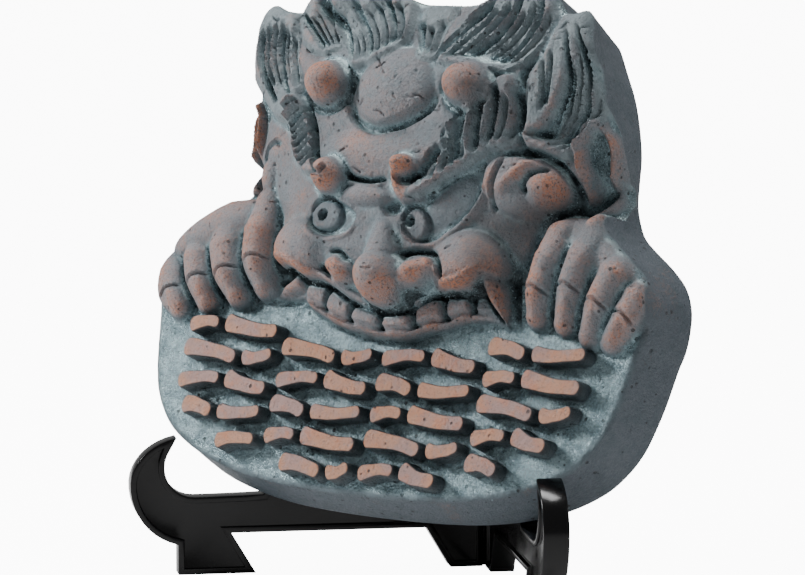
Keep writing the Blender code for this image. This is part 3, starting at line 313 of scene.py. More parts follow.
class Relief:
    """Grid points with the height of the clay over each, and the tools that shape it."""

    BEAD_FADE = 6.0
    LIP_FADE = 8.0
    LIP_REACH = 3.0
    GROOVE_WIDTH = 0.8
    RIM_WIDTH = 0.7
    RIM_PLACE = 1.6
    GUIDE_STEPS = 12
    BED_STEPS = 5

    def __init__(self, columns: Array, rows: Array) -> None:
        """Start flat at the board's level."""
        self.x = np.asarray(columns, float)
        self.v = np.asarray(rows, float)
        self.height = np.zeros_like(self.x)
        self.hair = np.zeros_like(self.x)
        self.eye = np.zeros_like(self.x)

    def near(self, centre: Sequence[float], reach: float) -> Array:
        """Return indices of the points within reach of a place."""
        return np.nonzero(np.hypot(self.x - centre[0], self.v - centre[1]) < reach)[0]

    def along(self, points: Sequence[Spot], widths: Sequence[float]) -> tuple[Array, Array, Array]:
        """Find how the points near a curve lie to it.

        Args:
            points: The curve's control points.
            widths: Its half-widths, spread evenly over its length.

        Returns:
            Indices, share of the curve's length, and side distance over the width, signed.
        """
        curve = spline(points)
        spread = np.interp(np.linspace(0, 1, len(curve)), np.linspace(0, 1, len(widths)), widths)
        middle = (curve.min(0) + curve.max(0)) / 2
        reach = float(np.hypot(*(curve.max(0) - curve.min(0)))) / 2 + float(spread.max()) + 1.0
        pick = self.near(middle, reach)
        px, pv = self.x[pick], self.v[pick]
        best = np.full(len(pick), FAR)
        share = np.zeros(len(pick))
        side = np.zeros(len(pick))
        steps = len(curve) - 1
        for i in range(steps):
            start, run = curve[i], curve[i + 1] - curve[i]
            length = float(np.hypot(*run))
            dx, dv = px - start[0], pv - start[1]
            part = np.clip((dx * run[0] + dv * run[1]) / length ** 2, 0.0, 1.0)
            away = np.hypot(dx - part * run[0], dv - part * run[1])
            closer = away < best
            best[closer] = away[closer]
            share[closer] = ((i + part) / steps)[closer]
            turn = (run[0] * dv - run[1] * dx) / length
            side[closer] = np.sign(turn[closer]) * away[closer]
        width = np.interp(share, np.linspace(0, 1, len(spread)), spread)
        return pick, share, side / width

    def oval(self, centre: Spot, radii: Spot, turn: float) -> tuple[Array, Array]:
        """Return indices of the points in an oval and their squared share of its radius."""
        pick = self.near(centre, max(radii) * 1.02)
        share = oval_share(self.x[pick], self.v[pick], centre, radii, turn)
        within = share < 1.0
        return pick[within], share[within]

    def raise_to(self, pick: Array, value: Array, blend: float) -> None:
        """Raise the picked points to heights, with a fillet, and never lower them."""
        self.height[pick] = np.maximum(smooth_max(value, self.height[pick], blend), self.height[pick])

    def dome(self, centre: Spot, radii: Spot, top: float, turn: float = 0.0, foot: float | None = None,
             power: float = 0.5, blend: float = 1.5) -> None:
        """Raise a rounded mass to an absolute height.

        Args:
            centre: Its middle.
            radii: Its two radii.
            top: Height of its crown.
            turn: Turn of the oval in degrees.
            foot: Height where its skirt starts.
            power: Fullness, 0.5 for a true dome and less for a flatter top.
            blend: Fillet to what is around it.
        """
        pick, r2 = self.oval(centre, radii, turn)
        base = top - 12.0 if foot is None else foot
        self.raise_to(pick, base + (top - base) * (1.0 - r2) ** power, blend)

    def lift(self, centre: Spot, radii: Spot, rise: float, turn: float = 0.0, power: float = 1.0) -> None:
        """Raise, or lower, the clay in an oval by up to rise, fading out at its edge."""
        pick, r2 = self.oval(centre, radii, turn)
        self.height[pick] += rise * (1.0 - r2) ** power

    def rope(self, points: Sequence[Spot], widths: Sequence[float], tops: Sequence[float], blend: float = 1.0,
             foot: float = -6.0, power: float = 0.5) -> None:
        """Raise a rounded ridge along a curve to absolute heights."""
        pick, share, q = self.along(points, widths)
        within = np.abs(q) < 1.0
        pick, share, q = pick[within], share[within], q[within]
        top = np.interp(share, np.linspace(0, 1, len(tops)), tops)
        self.raise_to(pick, foot + (top - foot) * (1.0 - q * q) ** power, blend)

    @staticmethod
    def faded(share: Array, fade: float) -> Array:
        """Return 1 along a line and less towards both its ends."""
        return np.clip(np.minimum(share, 1.0 - share) * fade, 0.0, 1.0)

    def bead(self, points: Sequence[Spot], widths: Sequence[float], rise: float, power: float = 1.0) -> None:
        """Raise, or cut, a line with round sides, fading out at both its ends."""
        pick, share, q = self.along(points, widths)
        profile = np.clip(1.0 - q * q, 0.0, 1.0) ** power
        self.height[pick] += rise * profile * self.faded(share, self.BEAD_FADE)

    def lip(self, points: Sequence[Spot], cut: float, rim: float, width: float = 1.0) -> None:
        """Cut a groove and push up a bead of clay along the left of the line's run.

        Args:
            points: The groove's line.
            cut: Depth of the groove.
            rim: Height of the bead.
            width: How broad both are.
        """
        pick, share, q = self.along(points, [width * self.LIP_REACH])
        away = q * self.LIP_REACH
        groove = np.exp(-(away / self.GROOVE_WIDTH) ** 2)
        ridge = np.exp(-((away - self.RIM_PLACE) / self.RIM_WIDTH) ** 2)
        self.height[pick] += (rim * ridge - cut * groove) * self.faded(share, self.LIP_FADE)

    def plateau(self, edge: Sequence[Spot], rise: float, shoulder: float) -> None:
        """Raise, or sink, everything inside a smooth closed line, with a shoulder along it.

        Args:
            edge: Control points of the line.
            rise: How far the clay rises.
            shoulder: Width of the shoulder.
        """
        line = spline(edge, self.BED_STEPS, closed=True)
        low, high = line.min(0), line.max(0)
        box = (self.x > low[0]) & (self.x < high[0]) & (self.v > low[1]) & (self.v < high[1])
        pick = np.nonzero(box)[0]
        pick = pick[inside(self.x[pick], self.v[pick], line)]
        away = edge_distance(self.x[pick], self.v[pick], line)
        self.height[pick] += rise * smooth_step(-0.1 * shoulder, shoulder, away)

    def tuft(self, tuft: Tuft) -> None:
        """Raise a tuft's bed and part it into rounded strands along its guides."""
        self.plateau(tuft.bed, tuft.rise, tuft.shoulder)
        shares = np.linspace(0.0, 1.0, self.GUIDE_STEPS)
        lines = []
        for guide in tuft.guides:
            curve = spline(guide)
            steps = np.linspace(0.0, 1.0, len(curve))
            lines.append(np.stack([np.interp(shares, steps, curve[:, k]) for k in range(2)], 1))
        spans = len(lines) - 1
        family = []
        for k in range(tuft.partings):
            at = k / (tuft.partings - 1) * spans
            left = min(int(at), spans - 1)
            family.append(lines[left] + (lines[left + 1] - lines[left]) * (at - left))
        for k, line in enumerate(family):
            other = family[k + 1] if k + 1 < len(family) else family[k - 1]
            pitch = np.hypot(*(other - line).T)
            widths = np.clip(pitch * 0.52, 0.8, 2.8)
            uneven = 1.0 + 0.28 * math.sin(k * 2.4 + 0.6)
            parting = line[: len(line) - (k * 5) % 3].tolist()
            self.bead(parting, widths.tolist(), -tuft.depth * uneven, 0.8)
            self.bead(parting, (widths * 0.4).tolist(), -tuft.depth * 0.35, 0.8)
        self.hair[inside(self.x, self.v, spline(tuft.bed, self.BED_STEPS, closed=True))] = 1.0


@dataclass(frozen=True)
class DemonFace:
    """The carving of the head and the hands, as places, sizes and heights on the grid."""

    board_round: float = 1.0
    head_round: float = 3.6
    edge_fullness: float = 0.8
    least_clay: float = 3.0
    tufts: tuple[Tuft, ...] = (
        Tuft(((-26, 189), (-15, 190), (-4, 198), (-4, 212), (-12, 222), (-36, 229), (-56, 224), (-42, 211),
              (-32, 200)),
             (((-24.5, 190.5), (-28.5, 197), (-36, 205), (-47, 213), (-53, 219)),
              ((-16, 192.5), (-19, 201), (-26.5, 209.5), (-36, 219)),
              ((-7.5, 198.5), (-7.5, 205.5), (-12.5, 213), (-16.5, 219))), 8, 3.4, 3.6),
        Tuft(((-45, 194), (-36, 195), (-31, 200), (-38, 209), (-52, 221), (-60, 222), (-59, 208), (-53, 199)),
             (((-40, 196), (-48, 203), (-57, 211)), ((-32, 198), (-40, 207), (-52, 218))), 5, 2.0, 3.0),
        Tuft(((3, 194), (10, 193), (11, 204), (12, 216), (-2, 216), (-1, 205)),
             (((4, 195), (1.5, 202), (-1, 209)), ((8.5, 195), (8.5, 203), (9, 211))), 3, 1.6, 2.4),
        Tuft(((11, 192), (22, 190), (36, 189), (47, 193), (52.5, 203), (54, 214), (48, 228), (34, 226),
              (22, 219), (16, 208), (11, 200)),
             (((11.5, 192.5), (13.5, 199.5), (19.5, 206.5), (26, 214), (27.5, 220)),
              ((23, 194), (33, 200), (40, 209), (40, 222)),
              ((35.5, 191.5), (44.5, 195.5), (50, 204), (51.5, 213), (48, 222))), 8, 3.8, 3.8),
        Tuft(((50.5, 167), (59, 162.5), (69, 164), (76, 176), (78, 190), (74, 206), (68, 219), (57, 216),
              (53.5, 200), (50.5, 188), (51, 175)),
             (((52, 169), (59, 171.5), (64, 181.5), (65.5, 191.5), (60.5, 209)),
              ((62.5, 164), (70, 171), (74.6, 181), (74.6, 191), (70, 202), (65, 211))), 5, 4.0, 4.2),
        Tuft(((-45, 174), (-47, 184), (-53, 194), (-55, 204), (-59, 212), (-72, 219), (-84, 206), (-80, 190),
              (-72, 180), (-60, 170), (-51, 168)),
             (((-75, 206.5), (-72, 194), (-65.5, 184), (-57.5, 175.5)),
              ((-66, 209), (-64, 197), (-59.5, 187), (-51.5, 178)),
              ((-58, 204), (-55.5, 194), (-51, 186), (-47, 179))), 6, 4.4, 3.6),
        Tuft(((12, 142), (20, 144.5), (27, 151), (34, 156.5), (40, 161.5), (46, 164), (50.5, 169), (50, 180),
              (46.5, 189), (41, 189.5), (35, 184), (27, 177), (21.5, 171), (18, 162), (15, 155), (12.5, 148)),
             (((16.5, 146), (16, 151.5), (17, 157), (18.5, 161)),
              ((25, 151), (24, 157.5), (22, 164.5), (22.5, 172)),
              ((31, 156), (29, 164.5), (28.5, 173), (31, 179.5)),
              ((39, 162), (40.5, 171.5), (41, 179), (39.5, 186)),
              ((45.5, 165), (48.5, 172), (48, 180), (44.5, 187.5))), 9, 5.0, 4.4, 2.2),
        Tuft(((-30.5, 150), (-33.8, 154.5), (-35.6, 160), (-37.5, 166), (-41, 172), (-45.5, 178), (-52, 177),
              (-53, 171), (-49.5, 164), (-46.5, 158), (-43, 153), (-37, 149.5)),
             (((-41.5, 151.5), (-37.5, 155), (-34.8, 159)), ((-47, 161.5), (-43, 166), (-38.5, 170.5)),
              ((-53, 171), (-49, 174.5), (-45.5, 178))), 9, 4.0, 2.6, 1.4),
    )
    fingers: tuple[Finger, ...] = (
        Finger(((68.5, 136), (67.5, 127), (65.6, 116), (64.6, 108)),
               (7.0, 7.4, 7.0, 5.6), (10, 13.5, 12.5, 7)),
        Finger(((82.5, 139), (80.6, 129), (78, 118), (76.4, 106.5)),
               (7.2, 7.6, 7.0, 5.6), (8, 12.5, 11.5, 6.5)),
        Finger(((96, 134), (94, 125), (90, 113.5), (87, 102.8)),
               (6.8, 7.4, 7.0, 5.4), (5, 11, 10.5, 5.5)),
        Finger(((104.5, 127), (103.5, 118.5), (100.6, 110), (96, 101.5)),
               (5.6, 6.6, 6.6, 5.4), (1, 7.5, 8, 5)),
        Finger(((-61, 141), (-59.6, 130), (-58.6, 119), (-55.2, 111)),
               (7.6, 8.4, 8.0, 6.4), (9, 15, 14, 9)),
        Finger(((-78, 135), (-75.8, 124), (-72, 114), (-67.6, 107)),
               (7.4, 8.0, 7.6, 6.0), (7, 12.5, 12.5, 8)),
        Finger(((-90, 130), (-88.8, 120), (-85.8, 111), (-81.6, 103.6)),
               (6.6, 7.4, 7.0, 5.6), (4, 10, 10, 6.5)),
        Finger(((-102, 123.5), (-102.6, 114), (-100, 106), (-94.5, 100.6)),
               (5.0, 6.2, 6.4, 5.4), (0, 5, 6, 5)),
    )
    eye_outline: tuple[Spot, ...] = (
        (10, 142), (17, 145), (25, 150.5), (33, 155.5), (38.5, 159), (40.2, 152.5), (38.6, 144.5),
        (35, 138.5), (30.5, 133.5), (25, 129), (19.5, 127.3), (14.5, 128.3), (9.6, 132), (8.6, 138))
    left_eye_outline: tuple[Spot, ...] = (
        (-34, 134), (-32.6, 140), (-27, 142.2), (-20.5, 141), (-14.5, 138.6), (-11, 135.4), (-14.2, 129.8),
        (-21, 127.8), (-28, 128.3), (-32.4, 130.4))
    lip_edge: tuple[Spot, ...] = (
        (-52, 118), (-40, 116.5), (-32, 113), (-25.5, 112.5), (-20, 110.5), (-12, 106.5), (-2.5, 104),
        (6, 103.5), (13, 105), (18.5, 108.5), (23.5, 111), (30, 112), (38.5, 113.5), (45, 119))
    gum_edge: tuple[Spot, ...] = (
        (-54, 106.6), (-36.5, 107), (-32, 104.5), (-21, 100), (-10.5, 97.5), (1, 96), (11.5, 96.5),
        (20, 99.5), (29, 102), (37.5, 105), (46.5, 105), (57, 103))
    tooth_edges: tuple[float, ...] = (-35, -24.7, -12.2, 1.5, 15, 26.8, 37.4)

    def head_mass(self, clay: Relief, slab: float) -> None:
        """Lay down the head's rounded body: full in the middle and falling away past the ears."""
        rows = [96, 104, 112, 124, 136, 150, 160, 170, 180, 190, 206, 226]
        crown = np.interp(clay.v, rows, [0, 4, 12, 17, 18, 19, 19, 20, 20, 20, 17, 10])
        half_width = np.interp(clay.v, rows, [44, 48, 51, 54, 59, 72, 82, 83, 84, 85, 88, 90])
        ground = slab / 22.0 * np.interp(clay.v, [130, 145, 155, 172, 186, 226], [0, -7, -15, -15, -2, 1])
        power = np.interp(clay.v, [132, 156], [0.62, 0.50])
        q = np.clip(np.abs(clay.x) / half_width, 0.0, 1.0)
        clay.height = ground + (crown - ground) * (1.0 - q ** 2.6) ** power

    def forehead(self, clay: Relief) -> None:
        """Shape the ball of the forehead in its ring, the band under it and the roll over the nose."""
        clay.dome((-6, 159), (28, 11), 22.5, foot=15, blend=3)
        clay.dome((-4, 182.5), (17.4, 16), 26.0, foot=17, blend=2)
        clay.bead([(-24.5, 179), (-22.5, 175.5), (-19.5, 171.4), (-14, 168.4), (-7.5, 167), (0.5, 169.2),
                   (6, 171.8), (11.5, 175.5), (13.6, 179), (14, 183)], [2.4], -2.8)
        clay.lip([(-23.5, 175), (-20, 170.4), (-14.5, 167.2), (-7.5, 165.8), (0.7, 168), (6.4, 170.6),
                  (12.3, 174.6), (14.6, 179)], 0.9, 0.9, 1.2)
        clay.dome((-8, 143), (13.4, 5.4), 22.0, foot=12, power=0.45, blend=1.0)
        clay.lip([(0, 149.4), (-5, 148.4), (-9, 148.2), (-15.5, 149), (-19.5, 151.6)], 3.2, 1.2)
        clay.lift((4.2, 139.4), (5.4, 3.6), -3.4)

    def horns(self, clay: Relief) -> None:
        """Raise two short blunt horns."""
        for centre, radii in (((-33.4, 183), (10, 9.6)), ((27.8, 184.8), (11.4, 9.6))):
            clay.dome(centre, radii, 31.5, foot=13, power=0.5, blend=1.0)
            clay.bead(ring_points(centre, (radii[0] + 0.6, radii[1] + 0.6), 150, 390), [1.4], -1.2)
            pick, r2 = clay.oval(centre, radii, 0.0)
            clay.hair[pick] *= smooth_step(0.8, 1.1, r2)

    def nose(self, clay: Relief) -> None:
        """Shape the bridge, the ball and the two nostrils with their grooves."""
        clay.rope([(-1, 137), (1.6, 130), (3.6, 122)], [5.4, 7.4, 9], [17.5, 21, 25], blend=2.0, foot=8)
        clay.dome((4.4, 114.8), (10.6, 10.8), 28.5, foot=11, power=0.5, blend=1.6)
        clay.rope([(11, 113.4), (17.4, 117), (23.6, 119.6)], [4.4, 5.6, 4.6], [20, 22.5, 20], blend=0.8,
                  foot=9)
        clay.dome((-15.6, 116.4), (7.6, 5.2), 20.4, turn=-22, foot=9, power=0.45, blend=0.8)
        clay.lip([(30.4, 114.6), (29.4, 119), (26, 123), (20.5, 124.6), (14.6, 123.8), (9.6, 120.8)], 4.4,
                 1.5, 1.25)
        clay.bead([(31, 116), (27, 113.4), (20, 111), (14, 108.6), (6, 106.2), (-1.5, 106.8)], [2.3], -3.2)
        clay.lip([(-12.4, 118), (-16, 122.4), (-21.4, 122.8)], 2.6, 0.8)
        clay.bead([(-26, 117.4), (-21, 114.8), (-16, 112.4)], [1.3], -2.8)

    def mouth(self, clay: Relief) -> None:
        """Cut the upper lip, the row of teeth, the gum under them and a fang at each corner."""
        upper, lower = spline(self.lip_edge), spline(self.gum_edge)
        top = np.interp(clay.x, upper[:, 0], upper[:, 1])
        foot = np.interp(clay.x, lower[:, 0], lower[:, 1])
        across = smooth_step(-58, -50, clay.x) * (1 - smooth_step(50, 58, clay.x))
        below = 1 - smooth_step(-3.4, 0.1, clay.v - foot)
        opened = smooth_step(-0.5, 0.5, top - clay.v) * (1 - below) * across
        gum_height = 2.4 + 4.6 * np.clip(1 - ((clay.x - 2) / 50) ** 2, 0, 1)
        board = below * smooth_step(-72, -54, clay.x) * (1 - smooth_step(54, 72, clay.x))
        clay.height = clay.height * (1 - opened) + gum_height * opened
        clay.height = np.where(clay.v < 112, clay.height * (1 - board), clay.height)
        for left, right in zip(self.tooth_edges, self.tooth_edges[1:]):
            middle = (left + right) / 2
            high = float(np.interp(middle, upper[:, 0], upper[:, 1]))
            low = float(np.interp(middle, lower[:, 0], lower[:, 1]))
            fall = np.interp(right, lower[:, 0], lower[:, 1]) - np.interp(left, lower[:, 0], lower[:, 1])
            rise = 5.4 + 4.0 * max(0.0, 1 - ((middle - 2) / 46) ** 2)
            turn = math.degrees(math.atan2(fall, right - left))
            clay.dome((middle, (high + low) / 2 + 0.4), ((right - left) * 0.56, (high - low) * 0.62), rise,
                      turn=turn, foot=2.0, power=0.2, blend=0.3)
        for gap, slope in zip(self.tooth_edges[1:], (-0.3, -0.4, 0.0, 0.0, 0.4, 0.4)):
            high = float(np.interp(gap, upper[:, 0], upper[:, 1]))
            low = float(np.interp(gap, lower[:, 0], lower[:, 1]))
            clay.bead([(gap, high), (gap + slope, (high + low) / 2), (gap + 2 * slope, low + 1.4)], [1.3],
                      -3.0)
        clay.bead([(x, v + 1.7) for x, v in self.gum_edge[1:-1]], [1.2], -2.0)
        clay.bead([(x, v + 1.6) for x, v in self.lip_edge], [2.0], 2.2)
        clay.bead([(x, v - 0.6) for x, v in self.lip_edge], [1.1], -2.4)
        clay.rope([(45.4, 119), (48.6, 111.6), (52.4, 103.4)], [5.8, 4.2, 0.8], [13, 10.5, 3], blend=0.4,
                  foot=-1, power=0.7)
        clay.rope([(-38.5, 112), (-44, 109.4), (-50.6, 106.2)], [4.8, 3.4, 0.7], [9, 7, 1.5], blend=0.4,
                  foot=-1, power=0.8)
        clay.bead([(40.5, 116), (46, 109), (52, 103.6)], [0.9], -2.0)
        clay.bead([(52, 121), (53.6, 113), (55, 104)], [1.3], -2.8)
        clay.bead([(-41.5, 118), (-46, 113.6), (-50.6, 111)], [1.2], -2.8)
        clay.bead([(-35, 106.8), (-42, 105.4), (-51.5, 105.2)], [0.9], -1.4)

    def cheeks(self, clay: Relief) -> None:
        """Fill the cheeks, fold the skin beside the eye and knot the muscle before the ears."""
        clay.dome((35.5, 122.5), (15.5, 14), 20.0, foot=8, blend=3.5)
        clay.dome((-35.5, 124), (14.5, 13), 19.0, foot=8, blend=3.5)
        clay.lip([(44.6, 141), (43.8, 148.5), (44.4, 154), (46.4, 160.5)], 2.2, 0.6)
        clay.bead([(31, 112.6), (33.6, 116.4), (38.6, 117.6)], [1.1], -0.9)
        clay.lift((52.5, 151), (14, 10.5), 4.4, turn=-16, power=0.5)
        clay.dome((58.4, 152.6), (9.4, 9.4), 15.0, foot=3, power=0.42, blend=0.8)
        clay.bead([(44.6, 160.4), (50, 162.8), (58, 163.4), (65, 160), (69, 153.4), (68, 146)], [1.8], -3.8)
        clay.bead([(63.6, 157.6), (59, 156.6), (55, 152.4), (56.4, 148)], [1.3], -2.8)
        clay.bead([(45.6, 147), (51, 153.6), (56.4, 159.4), (61, 159.2)], [2.4], 2.0)
        clay.dome((-61.5, 152), (6.4, 9.4), 9.4, foot=0, power=0.42, blend=1.2)
        clay.bead([(-56, 161), (-59.6, 163), (-65, 160.6), (-68, 154)], [1.4], -2.2)

    def eyes(self, clay: Relief) -> None:
        """Sink the eyes in crisp lids and set ringed irises with drilled pupils in them."""
        clay.lift((26, 143), (17, 12), 1.6, turn=42, power=0.7)
        clay.plateau(self.eye_outline, -2.6, 1.3)
        clay.plateau(self.left_eye_outline, -2.4, 1.2)
        for edge in (self.eye_outline, self.left_eye_outline):
            clay.eye[inside(clay.x, clay.v, spline(edge, clay.BED_STEPS, closed=True))] = 1.0
        rim = [(40.4, 157), (40.8, 151), (39, 144), (35.4, 137.8), (31, 132.8), (25.2, 128.2), (19.5, 126.5),
               (14, 127.6), (9, 131)]
        clay.bead(rim, [1.1], 1.0)
        clay.bead([(-34.4, 131), (-28, 127.2), (-21, 126.8), (-13.6, 129), (-10.4, 134)], [1.1], 1.0)
        clay.lift((28, 143.5), (11, 8), 1.4, turn=46, power=0.8)
        for centre, radii, pupil in (((14.8, 133.6), (5.6, 5.9), (12.4, 135)),
                                     ((-26, 135.4), (7.4, 5.6), (-27.6, 135.6))):
            clay.lift(centre, (radii[0] + 1.4, radii[1] + 1.4), -0.9, power=0.6)
            clay.lift(centre, radii, 3.6, power=0.3)
            clay.lift(centre, (radii[0] * 0.7, radii[1] * 0.7), -0.7, power=0.5)
            clay.lift(pupil, (2.3, 2.1), -4.2, power=0.5)

    def curls(self, clay: Relief) -> None:
        """Wind each brow's inner end into a curl."""
        clay.dome((-24.8, 149.4), (7.6, 7.6), 28.5, foot=14, power=0.46, blend=0.8)
        clay.bead([(-33, 154), (-30.4, 150.4), (-26.8, 148.4), (-24, 149), (-22.6, 152)], [1.3], -3.8,
                  power=0.6)
        clay.rope([(7.2, 154), (6.6, 149), (9.6, 144.6), (15.5, 145)], [4.6, 3.8, 4.4, 4.6],
                  [27.5, 25, 23.5, 22], blend=1.0, foot=13)
        clay.dome((7.6, 154), (5.2, 4.8), 28.5, foot=14, power=0.46, blend=0.6)
        clay.bead([(6.6, 150.6), (9, 147.8), (11.6, 149), (13.2, 152.4)], [1.1], -3.8, power=0.6)

    def hair(self, clay: Relief) -> None:
        """Raise the tufts and the brows, and part the tufts from each other."""
        for tuft in self.tufts:
            clay.tuft(tuft)
        clay.bead([(58, 161.5), (51.4, 163.5), (49.8, 172), (47.8, 184), (48, 191), (51, 198.5)], [1.8], -3.0)
        for crack in ([(57.6, 177), (57.4, 187), (54.4, 198)], [(59, 179), (59.6, 188.5), (57.6, 199.5)]):
            clay.bead(crack, [1.0], -3.2)
        clay.lip([(-45, 178), (-40.4, 171.8), (-37, 166), (-34.8, 158.5), (-32.6, 152.6)], 1.6, 0.4)

    def ears(self, clay: Relief) -> None:
        """Cut an ear on each side of the head, a rim round a hollow."""
        for side in (1, -1):
            clay.lift((side * 75.2, 163), (4.6, 12), -5.0, power=0.7)
            clay.bead([(side * 76.4, 178.4), (side * 72.8, 175), (side * 71, 169.4), (side * 70.8, 163.5),
                       (side * 72.6, 156.6)], [2.1], 4.6)
            clay.bead([(side * 75, 177), (side * 78.4, 172), (side * 79.2, 164.6), (side * 79.4, 157),
                       (side * 78.4, 150.4), (side * 75.4, 146.4), (side * 71.6, 147.6)], [2.2], 5.4)

    def hands(self, clay: Relief) -> None:
        """Raise the hands' backs and four fingers of each, gripping down over the board's upper edge."""
        clay.dome((83, 130), (27, 13), 8.5, turn=-20, foot=-4, power=0.5, blend=3)
        clay.dome((-82, 130), (26, 12), 9.0, turn=20, foot=-4, power=0.5, blend=3)
        for finger in self.fingers:
            clay.rope(finger.line, finger.widths, finger.tops, blend=0.9, foot=0.5, power=0.5)
        for finger in self.fingers:
            curve = spline(finger.line)
            at = int(len(curve) * 0.66)
            place, ahead = curve[at], curve[at + 1]
            run = (ahead - place) / np.hypot(*(ahead - place))
            side = np.array([-run[1], run[0]])
            reach = finger.widths[2] * 0.8
            joint = [place - side * reach + run * 1.2, place - run * 0.6, place + side * reach + run * 1.2]
            clay.bead([tuple(p) for p in joint], [0.8], -1.7)
            tip = curve[-1] - run * 2.4
            turn = math.degrees(math.atan2(run[1], run[0])) + 90
            clay.lift(tip, (finger.widths[3] * 0.7, finger.widths[3] * 1.1), 1.4, turn=turn)

    def carve(self, columns: Array, rows: Array, outline: Array, slab: float) -> Relief:
        """Carve the whole face.

        Args:
            columns: Grid columns of the points.
            rows: Grid rows of the points.
            outline: The face's edge.
            slab: The slab's thickness in grid units.

        Returns:
            The clay with its heights.
        """
        clay = Relief(columns, rows)
        self.head_mass(clay, slab)
        for step in (self.cheeks, self.forehead, self.eyes, self.nose, self.mouth, self.hair, self.curls,
                     self.horns, self.ears, self.hands):
            step(clay)
        away = edge_distance(clay.x, clay.v, outline)
        radius = self.board_round + (self.head_round - self.board_round) * smooth_step(112, 130, clay.v)
        inset = np.clip(1.0 - away / radius, 0.0, 1.0)
        clay.height -= radius * (1.0 - np.sqrt(1.0 - inset ** 2)) * self.edge_fullness
        clay.height = np.maximum(clay.height, -slab + self.least_clay)
        return clay


@dataclass(frozen=True)
class Dab:
    """A brush dab: a bowed, tapering stroke with round ends."""

    start: Spot
    end: Spot
    bow: float
    width_start: float
    width_end: float

    WAIST = 0.10
    WAVER = 0.12
    HEAD_REACH = 0.32
    TAIL_REACH = 0.42

    def loop(self, grow: float, steps: int = 12) -> Array:
        """Return the dab's outline, grown outwards by an amount, counterclockwise."""
        start, end = np.array(self.start), np.array(self.end)
        run = end - start
        length = float(np.hypot(*run))
        along = run / length
        across = np.array([-along[1], along[0]])
        sides: list[list[Array]] = []
        for sign in (-1, 1):
            side = []
            for s in np.linspace(0.0, 1.0, steps):
                middle = start + run * s + across * self.bow * 4 * s * (1 - s)
                half = (self.width_start + (self.width_end - self.width_start) * s) / 2
                half = half * (1 - self.WAIST * math.sin(math.pi * s)) + grow
                half += self.WAVER * math.sin(s * 9.0 + self.start[0] + sign)
                side.append(middle + across * sign * half)
            sides.append(side)
        head_reach = self.width_start * self.HEAD_REACH + grow
        tail_reach = self.width_end * self.TAIL_REACH + grow
        head_half, tail_half = self.width_start / 2 + grow, self.width_end / 2 + grow
        turns = np.linspace(-math.pi / 2, math.pi / 2, 8)[1:-1]
        tail = [end + along * tail_reach * math.cos(a) + across * tail_half * math.sin(a) for a in turns]
        head = [start - along * head_reach * math.cos(a) - across * head_half * math.sin(a) for a in turns]
        return np.array(sides[0] + tail + sides[1][::-1] + head)


@dataclass(frozen=True)
class StrokeRows:
    """The rows of raised dabs on the board, in four groups that follow its curve."""

    groups: tuple[Spot, ...] = ((-64.5, 73.5), (-20.0, 66.5), (24.5, 67.5), (69.0, 73.5))
    rows: int = 5
    pitch: float = 10.4
    group_half_width: float = 21.6
    split_from: float = 30.0
    margin: float = 8.5
    cuts: tuple[float, ...] = (0.38, 0.62, 0.50, 0.42)
    slants: tuple[float, ...] = (0.8, -1.0, 1.1, -0.7)
    broad: float = 7.1
    slim: float = 6.0
    taper: float = 0.76
    bow: float = 0.7
    head_room: float = 3.5
    tail_room: float = 3.3
    height: float = 6.8
    shoulder: float = 0.55
    skirt: float = 0.30
    skirt_shade: float = 0.6
    brim: float = 0.40
    clearance: float = 0.35

    def dabs(self, outline: TileOutline) -> list[Dab]:
        """Return every dab, kept clear of the board's edge."""
        foot = np.array(outline.half_foot)
        dabs = []
        for group, (middle, level) in enumerate(self.groups):
            for row in range(self.rows):
                v = level + ((self.rows - 1) / 2 - row) * self.pitch
                limit = float(np.interp(v - self.pitch / 2, foot[:, 1], foot[:, 0])) - self.margin
                left = max(middle - self.group_half_width, -limit)
                right = min(middle + self.group_half_width, limit)
                kind = (row + group) % len(self.cuts)
                cut = left + (right - left) * self.cuts[kind]
                spans = ((left, cut), (cut, right)) if right - left > self.split_from else ((left, right),)
                for k, (start, end) in enumerate(spans):
                    sense = -1 if k else 1
                    slant = self.slants[kind] * sense
                    thick = self.broad if (row + k + group) % 2 else self.slim
                    dabs.append(Dab((start + self.head_room, v - slant), (end - self.tail_room, v + slant),
                                    self.bow * sense, thick, thick * self.taper))
        return dabs


@dataclass(frozen=True)
class Cracks:
    """Short drying cracks: how many, the rows they lie in, their angles and their half-lengths."""

    count: int
    rows: tuple[float, float]
    angles: tuple[float, float]
    reach: tuple[float, float]


